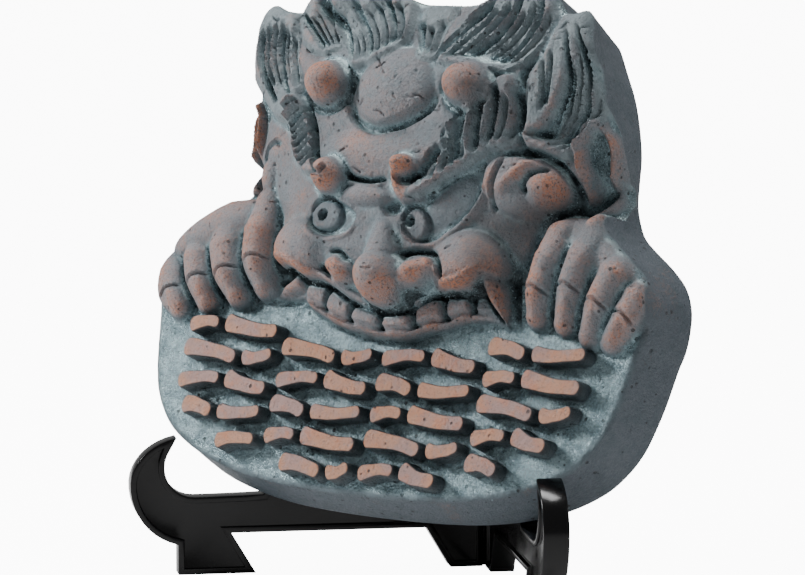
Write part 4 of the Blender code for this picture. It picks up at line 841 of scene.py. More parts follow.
@dataclass(frozen=True)
class ClaySkin:
    """The clay's own surface: soft lumps, crumbled hair, pores and drying cracks."""

    pores: int = 240
    pore_size: tuple[float, float] = (0.4, 0.9)
    pore_depth: float = 0.9
    cracks: tuple[Cracks, ...] = (
        Cracks(90, (172.0, 218.0), (0.0, math.pi), (1.0, 3.4)),
        Cracks(16, (108.0, 170.0), (-0.4, 0.6), (1.0, 2.6)),
    )
    crack_columns: tuple[float, float] = (-72.0, 68.0)
    crack_bend: float = 0.35
    crack_width: float = 0.42
    crack_depth: tuple[float, float] = (0.5, 1.3)
    lump: float = 0.16
    grain: float = 0.05
    crumb: float = 0.34

    def press(self, clay: Relief, outline: Array) -> None:
        """Work the surface into the heights.

        Args:
            clay: The carved clay.
            outline: The face's edge.
        """
        x, v = clay.x, clay.v
        clay.height += self.lump * lump_noise(x, v, 9.0, 5) + 0.5 * self.lump * lump_noise(x, v, 3.6, 6)
        clay.height += self.grain * lump_noise(x, v, 1.5, 7)
        torn = np.clip(lump_noise(x, v, 7.0, 8) * 1.6, 0.0, 1.0) * clay.hair
        clay.height -= self.crumb * torn * np.clip(lump_noise(x, v, 1.3, 9) * 2.0, 0.0, 1.0)
        rng = np.random.default_rng(SEED)
        low, high = outline.min(0), outline.max(0)
        for _ in range(self.pores):
            place = rng.uniform(low, high)
            size = float(rng.uniform(*self.pore_size))
            pick = clay.near(place, size)
            if len(pick):
                away = np.hypot(x[pick] - place[0], v[pick] - place[1]) / size
                clay.height[pick] -= size * self.pore_depth * np.clip(1.0 - away ** 2, 0.0, 1.0)
        for kind in self.cracks:
            low, high = zip(self.crack_columns, kind.rows)
            for _ in range(kind.count):
                place = rng.uniform(low, high)
                angle = float(rng.uniform(*kind.angles))
                reach = float(rng.uniform(*kind.reach))
                run = np.array([math.cos(angle), math.sin(angle)]) * reach
                bend = np.array([-run[1], run[0]]) * float(rng.uniform(-self.crack_bend, self.crack_bend))
                depth = float(rng.uniform(*self.crack_depth))
                clay.bead([tuple(place - run), tuple(place + bend), tuple(place + run)], [self.crack_width],
                          -depth)


@dataclass
class DepthMap:
    """A chart of the carving's heights, read for how proud, how deep and how steep each place is."""

    face: DemonFace
    outline: Array
    slab: float
    step: float = 0.6
    margin: float = 6.0
    ease: float = 0.85
    steep: tuple[float, float] = (1.1, 2.6)
    rim: tuple[float, float] = (2.0, 4.0)

    def __post_init__(self) -> None:
        """Chart the heights over the whole face."""
        self.origin = self.outline.min(0) - self.margin
        high = self.outline.max(0) + self.margin
        columns, rows = (np.arange(self.origin[k], high[k], self.step) for k in range(2))
        gx, gv = np.meshgrid(columns, rows)
        clay = self.face.carve(gx.ravel(), gv.ravel(), self.outline, self.slab)
        self.eased = self.blurred(clay.height.reshape(gx.shape), self.ease)
        self.fall, self.lean = np.gradient(self.eased, self.step)

    def blurred(self, heights: Array, reach: float) -> Array:
        """Return the heights blurred by a Gaussian of a reach in grid units."""
        sigma = reach / self.step
        span = int(sigma * 3) + 1
        weights = np.exp(-0.5 * (np.arange(-span, span + 1) / sigma) ** 2)
        weights /= weights.sum()

        def weigh(line: Array) -> Array:
            """Return one row or column blurred."""
            return np.convolve(line, weights, "valid")

        padded = np.pad(heights, span, mode="edge")
        return np.apply_along_axis(weigh, 0, np.apply_along_axis(weigh, 1, padded))

    def sample(self, table: Array, clay: Relief) -> Array:
        """Return a table's values at the clay's points, read between its own."""
        gx = np.clip((clay.x - self.origin[0]) / self.step, 0, table.shape[1] - 1.001)
        gv = np.clip((clay.v - self.origin[1]) / self.step, 0, table.shape[0] - 1.001)
        ix, iv = gx.astype(int), gv.astype(int)
        fx, fv = gx - ix, gv - iv
        low = table[iv, ix] * (1 - fx) + table[iv, ix + 1] * fx
        high = table[iv + 1, ix] * (1 - fx) + table[iv + 1, ix + 1] * fx
        return low * (1 - fv) + high * fv

    def proud(self, clay: Relief, reach: float) -> Array:
        """Return how far each of the clay's points stands over what lies around it."""
        return self.sample(self.eased - self.blurred(self.eased, reach), clay)

    def upturned(self, clay: Relief) -> Array:
        """Return how steeply the clay faces the sky at each of its points."""
        return self.sample(-self.fall, clay)

    def soften(self, clay: Relief) -> None:
        """Ease the steepest drops so that several rows of points go down each of them."""
        slope = np.hypot(self.fall, self.lean)
        share = self.sample(smooth_step(*self.steep, slope), clay)
        share = share * smooth_step(*self.rim, edge_distance(clay.x, clay.v, self.outline))
        clay.height += (self.sample(self.eased, clay) - clay.height) * share


@dataclass(frozen=True)
class Patch:
    """A place where the fired skin is rubbed off, or where shade is painted on the clay."""

    centre: Spot
    radii: Spot
    turn: float = 0.0
    rub: float = 0.0
    painted_shade: float = 0.0

    def share(self, clay: Relief) -> Array:
        """Return how much each of the clay's points is in the place, fading out from its middle."""
        return np.exp(-oval_share(clay.x, clay.v, self.centre, self.radii, self.turn))


@dataclass(frozen=True)
class WearAndShadePatches:
    """The places where years of handling have rubbed the clay, and where shade is painted on sides turned
    from the key light.
    """

    deepest_shade: float = 0.85
    patches: tuple[Patch, ...] = (
        Patch((-18, 164), (14, 6), -16, rub=0.30),
        Patch((-46, 126), (4, 20), 4, rub=0.26),
        Patch((-14, 118), (6, 5), rub=0.20),
        Patch((-1, 113), (6, 7), rub=0.16),
        Patch((20, 118), (6, 4), 20, rub=0.18),
        Patch((6, 153), (4, 4), rub=0.20),
        Patch((-40, 187), (5, 5), rub=0.30),
        Patch((22, 188), (5, 6), rub=0.28),
        Patch((44, 150), (2.4, 9), rub=0.30),
        Patch((58, 154), (8, 3), -12, rub=0.34),
        Patch((64, 122), (2.6, 13), rub=0.22),
        Patch((76, 118), (2.6, 14), rub=0.26),
        Patch((89, 118), (2.8, 14), -4, rub=0.38),
        Patch((101, 114), (3.4, 13), -6, rub=0.50),
        Patch((-63, 122), (2.6, 13), 6, rub=0.20),
        Patch((-106, 112), (4, 12), rub=0.24),
        # Painted shade: these patches darken the right-hand sides of the cheek, horns, nose and nostril,
        # turned away from the key light, and the right hand's back under the head.
        Patch((45, 122), (6.5, 17), 8, painted_shade=0.72),
        Patch((59, 142), (12, 4.5), 24, painted_shade=0.60),
        Patch((34, 180), (8, 7), painted_shade=0.62),
        Patch((-25, 180), (4, 7), painted_shade=0.40),
        Patch((10, 127), (5, 8), painted_shade=0.34),
        Patch((28, 116), (3.4, 6), painted_shade=0.40),
        Patch((79, 139), (16, 5), -14, painted_shade=0.34),
    )

    def read(self, clay: Relief) -> tuple[Array, Array]:
        """Return how much is rubbed off and how much shade is painted at each of the clay's points."""
        rub = sum(patch.share(clay) * patch.rub for patch in self.patches)
        painted_shade = sum(patch.share(clay) * patch.painted_shade for patch in self.patches)
        return rub, np.clip(painted_shade, 0.0, self.deepest_shade)


# Shaders

class ShaderSheet:
    """A node tree with short calls to add and link its nodes."""

    def __init__(self, tree: bpy.types.NodeTree) -> None:
        """Hold the tree."""
        self.tree = tree

    def add(self, kind: str, **settings: object) -> bpy.types.Node:
        """Add a node of a kind and set its own properties."""
        node = self.tree.nodes.new(kind)
        for name, value in settings.items():
            setattr(node, name, value)
        return node

    def link(self, source: bpy.types.NodeSocket, target: bpy.types.NodeSocket) -> None:
        """Link two sockets."""
        self.tree.links.new(source, target)

    def fill(self, socket: bpy.types.NodeSocket, value: object) -> None:
        """Link a socket's source, or set its value."""
        if isinstance(value, bpy.types.NodeSocket):
            self.link(value, socket)
        else:
            socket.default_value = value

    def math(self, operation: str, a: object, b: object = 0.0, clamp: bool = False) -> bpy.types.NodeSocket:
        """Add a Math node and return its result."""
        node = self.add("ShaderNodeMath", operation=operation, use_clamp=clamp)
        self.fill(node.inputs[0], a)
        self.fill(node.inputs[1], b)
        return node.outputs[0]

    def ramp(self, value: object, low: float, high: float, out_low: float = 0.0,
             out_high: float = 1.0) -> bpy.types.NodeSocket:
        """Map a value smoothly from one range to another."""
        node = self.add("ShaderNodeMapRange", interpolation_type="SMOOTHSTEP", clamp=True)
        for name, given in (("Value", value), ("From Min", low), ("From Max", high), ("To Min", out_low),
                            ("To Max", out_high)):
            self.fill(node.inputs[name], given)
        return node.outputs["Result"]

    def blend(self, share: object, a: object, b: object) -> bpy.types.NodeSocket:
        """Mix two colours and return the result."""
        node = self.add("ShaderNodeMix", data_type="RGBA")
        self.fill(node.inputs["Factor"], share)
        self.fill(node.inputs["A"], a)
        self.fill(node.inputs["B"], b)
        return node.outputs["Result"]

    def noise(self, place: bpy.types.NodeSocket, scale: float, detail: float = 4.0,
              rough: float = 0.55) -> bpy.types.NodeSocket:
        """Add a noise and return its value."""
        node = self.add("ShaderNodeTexNoise")
        self.link(place, node.inputs["Vector"])
        node.inputs["Scale"].default_value = scale
        node.inputs["Detail"].default_value = detail
        node.inputs["Roughness"].default_value = rough
        return node.outputs["Fac"]

    def bump(self, shader: bpy.types.Node, height: bpy.types.NodeSocket, strength: float,
             distance: float) -> None:
        """Bend a shader's normal by a height, over a distance in metres."""
        node = self.add("ShaderNodeBump")
        node.inputs["Strength"].default_value = strength
        node.inputs["Distance"].default_value = distance
        self.link(height, node.inputs["Height"])
        self.link(node.outputs["Normal"], shader.inputs["Normal"])

    def mark(self, mark: Mark) -> bpy.types.NodeSocket:
        """Read a mark from the piece."""
        return self.add("ShaderNodeAttribute", attribute_name=mark.value).outputs["Fac"]


def colour(red: int, green: int, blue: int) -> tuple[float, float, float, float]:
    """Return a shader colour from screen values of 0 to 255."""
    def linear(value: int) -> float:
        """Return one channel in linear light."""
        share = value / 255.0
        return share / 12.92 if share <= 0.04045 else ((share + 0.055) / 1.055) ** 2.4
    return linear(red), linear(green), linear(blue), 1.0


def grain_group() -> bpy.types.NodeTree:
    """Return the shared surface grain: a soft mottle, a fine grain and scattered specks.

    Returns:
        A group with inputs Vector, Coarse, Fine and Specks, and outputs Mottle, Grain and Speck.
    """
    tree = bpy.data.node_groups.new("surface_grain", "ShaderNodeTree")
    faces = tree.interface
    faces.new_socket("Vector", in_out="INPUT", socket_type="NodeSocketVector")
    for name, value in (("Coarse", 60.0), ("Fine", 900.0), ("Specks", 300.0)):
        faces.new_socket(name, in_out="INPUT", socket_type="NodeSocketFloat").default_value = value
    for name in ("Mottle", "Grain", "Speck"):
        faces.new_socket(name, in_out="OUTPUT", socket_type="NodeSocketFloat")
    sheet = ShaderSheet(tree)
    given, result = sheet.add("NodeGroupInput"), sheet.add("NodeGroupOutput")
    for target, scale, detail in (("Mottle", "Coarse", 5.0), ("Grain", "Fine", 6.0)):
        noise = sheet.add("ShaderNodeTexNoise")
        noise.inputs["Detail"].default_value = detail
        noise.inputs["Roughness"].default_value = 0.62
        sheet.link(given.outputs["Vector"], noise.inputs["Vector"])
        sheet.link(given.outputs[scale], noise.inputs["Scale"])
        sheet.link(noise.outputs["Fac"], result.inputs[target])
    cells = sheet.add("ShaderNodeTexVoronoi", feature="F1")
    sheet.link(given.outputs["Vector"], cells.inputs["Vector"])
    sheet.link(given.outputs["Specks"], cells.inputs["Scale"])
    chosen = sheet.add("ShaderNodeSeparateColor")
    sheet.link(cells.outputs["Color"], chosen.inputs["Color"])
    rare = sheet.math("GREATER_THAN", chosen.outputs["Red"], 0.72)
    size = sheet.ramp(chosen.outputs["Green"], 0.0, 1.0, 0.10, 0.34)
    dot = sheet.math("SUBTRACT", size, cells.outputs["Distance"])
    spot = sheet.ramp(dot, 0.0, 0.08)
    sheet.link(sheet.math("MULTIPLY", spot, rare), result.inputs["Speck"])
    return tree


def new_material(name: str) -> tuple[bpy.types.Material, ShaderSheet, bpy.types.Node]:
    """Return a new material, its sheet and its Principled shader."""
    material = bpy.data.materials.new(name)
    material.use_nodes = True
    sheet = ShaderSheet(material.node_tree)
    return material, sheet, material.node_tree.nodes["Principled BSDF"]


def place_grain(sheet: ShaderSheet, grain: bpy.types.NodeTree, coarse: float, fine: float,
                specks: float) -> tuple[bpy.types.NodeSocket, bpy.types.Node]:
    """Place the shared grain in a material.

    Args:
        sheet: The material's sheet.
        grain: The grain group.
        coarse: Scale of the mottle.
        fine: Scale of the grain.
        specks: Scale of the specks.

    Returns:
        The Object coordinates and the group's node.
    """
    place = sheet.add("ShaderNodeTexCoord").outputs["Object"]
    node = sheet.add("ShaderNodeGroup", node_tree=grain)
    sheet.link(place, node.inputs["Vector"])
    for name, value in (("Coarse", coarse), ("Fine", fine), ("Specks", specks)):
        node.inputs[name].default_value = value
    return place, node


@dataclass(frozen=True)
class SmokedClay:
    """Smoke-fired clay, silvery slate where it lies low, worn to rose and terracotta where it is rubbed, with
    shade and highlights painted on.
    """

    slate: tuple[int, int, int] = (94, 108, 115)
    slate_deep: tuple[int, int, int] = (66, 78, 85)
    silver: tuple[int, int, int] = (136, 158, 164)
    silver_deep: tuple[int, int, int] = (96, 117, 124)
    mauve: tuple[int, int, int] = (120, 116, 119)
    rose: tuple[int, int, int] = (148, 116, 106)
    rust: tuple[int, int, int] = (176, 110, 76)
    umber: tuple[int, int, int] = (96, 78, 72)
    cap: tuple[int, int, int] = (170, 126, 102)
    cap_rose: tuple[int, int, int] = (150, 122, 116)
    shade_and_speck_black: tuple[int, int, int] = (18, 23, 27)
    painted_shade_tone: tuple[int, int, int] = (48, 44, 45)
    painted_highlight: tuple[int, int, int] = (186, 206, 208)
    tress: tuple[int, int, int] = (122, 134, 138)
    wall: tuple[int, int, int] = (80, 88, 96)
    roughness: float = 0.56

    def dress(self, grain: bpy.types.NodeTree) -> bpy.types.Material:
        """Return the clay's material."""
        material, sheet, shader = new_material("smoked_clay_worn")
        place, group = place_grain(sheet, grain, 52.0, 1300.0, 420.0)
        mottle, fine, speck = (group.outputs[name] for name in ("Mottle", "Grain", "Speck"))
        broad = sheet.noise(place, 22.0, 3.0)
        patch = sheet.noise(place, 190.0, 6.0, 0.7)
        grit = sheet.noise(place, 900.0, 3.0, 0.6)
        rub, recess, sheen, cap, flank, wall, tress, painted_glint, painted_shade = (
            sheet.mark(mark) for mark in (Mark.RUB, Mark.RECESS, Mark.SHEEN, Mark.CAP, Mark.FLANK, Mark.WALL,
                                          Mark.TRESS, Mark.PAINTED_GLINT, Mark.SMOKE))

        base = sheet.blend(sheet.ramp(mottle, 0.36, 0.62), colour(*self.slate), colour(*self.slate_deep))
        base = sheet.blend(sheet.math("MULTIPLY", tress, sheet.ramp(patch, 0.3, 0.7, 0.3, 0.9)), base,
                           colour(*self.tress))
        side = sheet.blend(sheet.ramp(patch, 0.35, 0.7), colour(*self.wall), colour(*self.slate_deep))
        base = sheet.blend(wall, base, side)
        skin = sheet.blend(sheet.ramp(patch, 0.30, 0.70), colour(*self.mauve), colour(*self.slate))
        base = sheet.blend(sheet.ramp(rub, 0.04, 0.36, 0.0, 0.92), base, skin)
        worn = rub
        for texture, low, high, sway in ((broad, 0.3, 0.7, 0.22), (mottle, 0.3, 0.7, 0.20),
                                         (patch, 0.25, 0.75, 0.16), (grit, 0.3, 0.7, 0.14)):
            worn = sheet.math("ADD", worn, sheet.ramp(texture, low, high, -sway, sway))
        base = sheet.blend(sheet.ramp(worn, 0.22, 0.98, 0.0, 0.82), base, colour(*self.rose))
        grainy = sheet.math("ADD", worn, sheet.ramp(fine, 0.32, 0.68, -0.34, 0.34))
        rusty = sheet.blend(sheet.ramp(grit, 0.40, 0.56), colour(*self.umber), colour(*self.rust))
        base = sheet.blend(sheet.ramp(grainy, 0.76, 1.26, 0.0, 0.88), base, rusty)
        pepper = sheet.math("MULTIPLY", sheet.ramp(fine, 0.53, 0.62), sheet.ramp(rub, 0.05, 0.4, 0.2, 0.62))
        base = sheet.blend(pepper, base, colour(*self.slate_deep))
        silver = sheet.blend(sheet.ramp(patch, 0.38, 0.62), colour(*self.silver_deep), colour(*self.silver))
        silver_share = sheet.math("MULTIPLY", sheen, sheet.ramp(mottle, 0.28, 0.5, 0.72, 1.0))
        base = sheet.blend(silver_share, base, silver)
        cap_tone = sheet.blend(sheet.ramp(mottle, 0.42, 0.58), colour(*self.cap), colour(*self.cap_rose))
        cap_tone = sheet.blend(sheet.ramp(patch, 0.48, 0.66, 0.0, 0.5), cap_tone, colour(*self.rust))
        cap_tone = sheet.blend(sheet.ramp(fine, 0.54, 0.66, 0.0, 0.55), cap_tone, colour(*self.umber))
        capped = sheet.math("MULTIPLY", cap, sheet.ramp(grit, 0.26, 0.42, 0.35, 1.0))
        base = sheet.blend(capped, base, cap_tone)
        # Painted shade: the shade patches pull the colour towards a dull dark brown-grey.
        painted_shade_share = sheet.math("MULTIPLY", painted_shade, sheet.ramp(grit, 0.3, 0.7, 1.0, 0.72))
        base = sheet.blend(painted_shade_share, base, colour(*self.painted_shade_tone))
        # Painted shade: recesses, and the dabs' walls and feet by their flank mark, are darkened towards
        # near-black.
        dark = sheet.math("MULTIPLY", recess, sheet.ramp(patch, 0.3, 0.7, 1.0, 0.68))
        dark = sheet.math("MAXIMUM", dark, sheet.math("MULTIPLY", flank, 0.93))
        base = sheet.blend(dark, base, colour(*self.shade_and_speck_black))
        # Painted highlight: pale colour on the upturned groove banks, where the top light would catch.
        painted_highlight = sheet.math("MULTIPLY", painted_glint, sheet.ramp(grit, 0.30, 0.52, 0.35, 1.0))
        base = sheet.blend(painted_highlight, base, colour(*self.painted_highlight))
        dots = sheet.math("MULTIPLY", speck, sheet.ramp(patch, 0.42, 0.58, 0.2, 1.0))
        base = sheet.blend(sheet.math("MULTIPLY", dots, 0.85), base, colour(*self.shade_and_speck_black))
        sheet.link(base, shader.inputs["Base Color"])

        rough = sheet.ramp(grit, 0.3, 0.7, self.roughness - 0.10, self.roughness + 0.10)
        for share, gloss in ((silver_share, 0.28), (dark, 0.20), (painted_highlight, 0.24)):
            rough = sheet.math("SUBTRACT", rough, sheet.math("MULTIPLY", share, gloss))
        rough = sheet.math("ADD", rough, sheet.math("MULTIPLY", cap, 0.16), clamp=True)
        sheet.link(rough, shader.inputs["Roughness"])
        sheet.link(sheet.math("MULTIPLY", silver_share, 0.55), shader.inputs["Metallic"])

        relief = sheet.math("ADD", sheet.math("MULTIPLY", grit, 0.55), sheet.math("MULTIPLY", patch, 0.9))
        relief = sheet.math("ADD", relief, sheet.math("MULTIPLY", fine, 0.45))
        relief = sheet.math("SUBTRACT", relief, sheet.math("MULTIPLY", dots, 0.8))
        sheet.bump(shader, relief, 1.0, 0.0009)
        return material


@dataclass(frozen=True)
class BlackPlastic:
    """Glossy moulded black plastic with faint handling marks."""

    black: tuple[int, int, int] = (5, 5, 6)
    haze: tuple[int, int, int] = (16, 16, 18)
    roughness: float = 0.16

    def dress(self, grain: bpy.types.NodeTree) -> bpy.types.Material:
        """Return the plastic's material."""
        material, sheet, shader = new_material("black_plastic_gloss")
        place, group = place_grain(sheet, grain, 30.0, 500.0, 220.0)
        scuff = sheet.noise(place, 90.0, 8.0, 0.75)
        marks = sheet.ramp(scuff, 0.58, 0.78)
        sheet.link(sheet.blend(sheet.math("MULTIPLY", marks, 0.5), colour(*self.black), colour(*self.haze)),
                   shader.inputs["Base Color"])
        rough = sheet.ramp(group.outputs["Mottle"], 0.3, 0.7, self.roughness - 0.04, self.roughness + 0.06)
        sheet.link(sheet.math("ADD", rough, sheet.math("MULTIPLY", marks, 0.12)), shader.inputs["Roughness"])
        shader.inputs["Specular IOR Level"].default_value = 0.24
        sheet.bump(shader, group.outputs["Grain"], 0.12, 0.00008)
        return material


# Sub-assemblies

def new_object(name: str, data: bpy.types.ID) -> bpy.types.Object:
    """Return a new object that holds the data, put into the scene."""
    item = bpy.data.objects.new(name, data)
    bpy.context.scene.collection.objects.link(item)
    return item


def smooth_faces(mesh: bpy.types.Mesh, material: bpy.types.Material, sharp_deg: float) -> None:
    """Give a mesh its material and smooth faces, with the edges over an angle kept sharp."""
    mesh.materials.append(material)
    mesh.shade_smooth()
    mesh.set_sharp_from_angle(angle=math.radians(sharp_deg))


@dataclass
class DemonTile:
    """The clay tile: its carved face, raised dabs, side wall and flat back in one closed mesh."""

    grid: CarvingGrid = field(default_factory=CarvingGrid)
    outline: TileOutline = field(default_factory=TileOutline)
    face: DemonFace = field(default_factory=DemonFace)
    strokes: StrokeRows = field(default_factory=StrokeRows)
    skin: ClaySkin = field(default_factory=ClaySkin)
    wear_and_shade: WearAndShadePatches = field(default_factory=WearAndShadePatches)
    fine_spacing: float = 0.58
    board_spacing: float = 1.25
    fine_from_row: float = 95.0
    wall_rings: int = 11
    back_spacing: float = 6.0
    wall_inset: float = 0.1
    wall_ripple: float = 0.10
    back_round: float = 0.9
    sharp_deg: float = 48.0
    reaches: tuple[float, float, float] = (0.9, 1.8, 5.0)

    def lattice(self, spacing: float, low_row: float, high_row: float, front: Array) -> Array:
        """Return points in offset rows, inside the face's edge and clear of it.

        Args:
            spacing: Distance between neighbours.
            low_row: First row.
            high_row: Last row.
            front: The face's edge.

        Returns:
            The points.
        """
        row_gap = spacing * math.sqrt(3) / 2
        left, right = front[:, 0].min(), front[:, 0].max()
        places = []
        for i, v in enumerate(np.arange(low_row, high_row, row_gap)):
            columns = np.arange(left + (spacing / 2 if i % 2 else 0.0), right, spacing)
            places.append(np.stack([columns, np.full(len(columns), v)], 1))
        points = np.vstack(places)
        keep = inside(points[:, 0], points[:, 1], front)
        points = points[keep]
        return points[edge_distance(points[:, 0], points[:, 1], front) > spacing * 0.55]

    def plan(self, front: Array) -> tuple[Array, list[tuple[int, int]], Array, Array]:
        """Lay out the face's points and the edges that the triangles keep.

        Args:
            front: The face's edge.

        Returns:
            Points, kept edges, the dabs' rise at each point, and how much shade is painted on each point of a
            dab's wall and foot.
        """
        points = [front]
        edges = [(i, (i + 1) % len(front)) for i in range(len(front))]
        rises = [np.zeros(len(front))]
        flanks = [np.zeros(len(front))]
        start = len(front)
        blocked: list[tuple[Array, Array]] = []
        strokes = self.strokes
        # Each loop: how far it grows, how high it stands, and how much shade is painted on it.
        rim = ((strokes.skirt, 0.0, strokes.skirt_shade), (0.0, strokes.height - strokes.shoulder, 1.0),
               (-strokes.brim, strokes.height, 0.0))
        for dab in strokes.dabs(self.outline):
            for grow, rise, flank in rim:
                loop = dab.loop(grow)
                count = len(loop)
                points.append(loop)
                edges += [(start + i, start + (i + 1) % count) for i in range(count)]
                rises.append(np.full(count, rise))
                flanks.append(np.full(count, flank))
                start += count
            blocked.append((dab.loop(strokes.skirt + strokes.clearance),
                            dab.loop(-strokes.brim - strokes.clearance)))
        split = self.fine_from_row
        ground = np.vstack([
            self.lattice(self.board_spacing, self.grid.foot_row, split, front),
            self.lattice(self.fine_spacing, split + self.board_spacing * 0.5, self.grid.top_row + 1.0,
                         front)])
        top_rise = np.zeros(len(ground))
        keep = np.ones(len(ground), bool)
        for outer, inner in blocked:
            near = inside(ground[:, 0], ground[:, 1], outer)
            on_top = inside(ground[:, 0], ground[:, 1], inner)
            top_rise[on_top] = strokes.height
            keep &= ~near | on_top
        points.append(ground[keep])
        rises.append(top_rise[keep])
        flanks.append(np.zeros(int(keep.sum())))
        return np.vstack(points), edges, np.concatenate(rises), np.concatenate(flanks)

    def triangulate(self, points: Array, edges: list[tuple[int, int]]) -> Array:
        """Return triangles over the points, inside the outer loop, that keep the edges."""
        result = delaunay_2d_cdt([Vector(p) for p in points], edges, [], 1, WELD)
        if len(result[0]) != len(points):
            raise ValueError(f"the plan's loops cross: {len(points)} points became {len(result[0])}")
        return np.array(result[2])

    def marks(self, clay: Relief, chart: DepthMap, front: Array, rise: Array,
              flank: Array) -> dict[Mark, Array]:
        """Work out each point's marks from how proud or deep it lies.

        Args:
            clay: The finished clay.
            chart: The chart of its heights.
            front: The face's edge.
            rise: The dabs' rise at each point.
            flank: How much shade is painted on each point of a dab's wall and foot.

        Returns:
            The marks.
        """
        x, v = clay.x, clay.v
        tight, close, wide = (chart.proud(clay, reach) for reach in self.reaches)
        cap = (rise >= self.strokes.height - 1e-6).astype(float)
        bare = 1.0 - cap
        board = ((clay.height - rise < 1.6) & (v < 132)).astype(float)
        raised = np.maximum(smooth_step(1.0, 4.5, clay.height - rise), smooth_step(138, 143, v))
        skin = raised * (1.0 - 0.85 * clay.hair) * (1.0 - 0.45 * clay.eye)
        rub = skin * (0.24 + 0.36 * smooth_step(0.0, 1.3, close) + 0.42 * smooth_step(0.0, 5.0, wide))
        rub += 0.30 * clay.hair * smooth_step(0.1, 0.6, tight)
        # Painted shade: points lying below what is around them, in creases and broad hollows, are painted
        # darker the deeper they lie.
        recess = np.maximum(smooth_step(0.45, 1.9, -close), 0.85 * smooth_step(0.16, 0.6, -tight))
        recess = np.maximum(recess, 0.8 * smooth_step(2.4, 8.0, -wide)) * (1.0 - 0.3 * clay.hair)
        groove = smooth_step(0.08, 0.8, -close) * (1.0 - board)
        sheen = np.maximum(board * smooth_step(0.4, 2.2, edge_distance(x, v, front)), groove)
        spots, painted_shade = self.wear_and_shade.read(clay)
        rub += spots
        hollow = smooth_step(68.0, 72.0, np.abs(x)) * smooth_step(144.0, 150.0, v) * (1.0 - clay.hair)
        recess *= 1.0 - 0.75 * hollow
        # Painted highlight: groove banks that face up towards the top light are painted pale, and their
        # painted shade is lifted.
        painted_glint = smooth_step(0.45, 1.3, chart.upturned(clay)) * smooth_step(0.05, 0.55, -close)
        recess *= 1.0 - painted_glint
        crumb = 0.12 * board + 0.5 * groove + 0.25 * clay.hair
        return {Mark.RUB: rub * bare, Mark.RECESS: recess * bare, Mark.SHEEN: sheen * bare * (1 - flank),
                Mark.CAP: cap, Mark.FLANK: flank, Mark.WALL: np.zeros(len(x)), Mark.TRESS: clay.hair,
                Mark.PAINTED_GLINT: painted_glint * bare * (1 - flank), Mark.SMOKE: painted_shade * bare,
                Mark.CRUMB: np.clip(crumb, 0.0, 1.0) * bare * (1 - flank)}

    def wall(self, front: Array, back: Array, edge_height: Array) -> tuple[Array, Array, Array]:
        """Return the side wall's inner rings, from the face's edge to the slab's back.

        Args:
            front: The face's edge.
            back: The slab's back edge.
            edge_height: Height of the clay at the face's edge.

        Returns:
            Columns, rows and heights, a line for each ring.
        """
        slab = self.grid.slab
        side = np.roll(back, -1, axis=0) - np.roll(back, 1, axis=0)
        inward = np.stack([-side[:, 1], side[:, 0]], 1) / np.hypot(*side.T)[:, None]
        columns, rows, heights = [], [], []
        for s in np.linspace(0.0, 1.0, self.wall_rings + 1)[1:]:
            ring = front + (back - front) * s
            level = edge_height + (-slab + self.back_round - edge_height) * s
            ripple = self.wall_ripple * lump_noise(ring[:, 0] + level, ring[:, 1] - level, 6.0, 12)
            inset = self.wall_inset + ripple * min(1.0, 4 * (1 - s))
            columns.append(ring[:, 0] + inward[:, 0] * inset)
            rows.append(ring[:, 1] + inward[:, 1] * inset)
            heights.append(level)
        for turn in (45.0, 90.0):
            inset = self.wall_inset + self.back_round * (1 - math.cos(math.radians(turn)))
            level = -slab + self.back_round * (1 - math.sin(math.radians(turn)))
            columns.append(back[:, 0] + inward[:, 0] * inset)
            rows.append(back[:, 1] + inward[:, 1] * inset)
            heights.append(np.full(len(back), level))
        return np.array(columns), np.array(rows), np.array(heights)

    def build(self, material: bpy.types.Material) -> bpy.types.Object:
        """Build the tile's mesh with its marks and put it in the node's place.

        Args:
            material: The clay's material.

        Returns:
            The tile.
        """
        front, back = self.outline.loops()
        points, edges, rise, flank = self.plan(front)
        triangles = self.triangulate(points, edges)
        clay = self.face.carve(points[:, 0], points[:, 1], front, self.grid.slab)
        chart = DepthMap(self.face, front, self.grid.slab)
        chart.soften(clay)
        self.skin.press(clay, front)
        calm = 1.0 - 0.6 * smooth_step(0.0, 0.5, rise)
        clay.height = clay.height * calm + rise
        marks = self.marks(clay, chart, front, rise, flank)

        count = len(front)
        ring_x, ring_v, ring_h = self.wall(front, back, clay.height[:count])
        rear_rim = np.stack([ring_x[-1], ring_v[-1]], 1)
        rear_inner = self.lattice(self.back_spacing, self.grid.foot_row, self.grid.top_row, rear_rim)
        rear_points = np.vstack([rear_rim, rear_inner])
        rear = self.triangulate(rear_points, [(i, (i + 1) % count) for i in range(count)])

        places = np.vstack([
            self.grid.place(clay.x, clay.v, clay.height),
            self.grid.place(ring_x.ravel(), ring_v.ravel(), ring_h.ravel()),
            self.grid.place(rear_inner[:, 0], rear_inner[:, 1], np.full(len(rear_inner), -self.grid.slab))])
        first = len(points)
        ahead = (np.arange(count) + 1) % count
        faces = [tuple(t) for t in triangles.tolist()]
        upper = np.arange(count)
        for k in range(len(ring_x)):
            lower = first + k * count + np.arange(count)
            for a, b, c, d in zip(upper[ahead], upper, lower, lower[ahead]):
                faces.append((int(a), int(b), int(c)))
                faces.append((int(a), int(c), int(d)))
            upper = lower
        rear_index = np.concatenate([upper, first + len(ring_x) * count + np.arange(len(rear_inner))])
        faces += [tuple(t) for t in rear_index[rear][:, ::-1].tolist()]

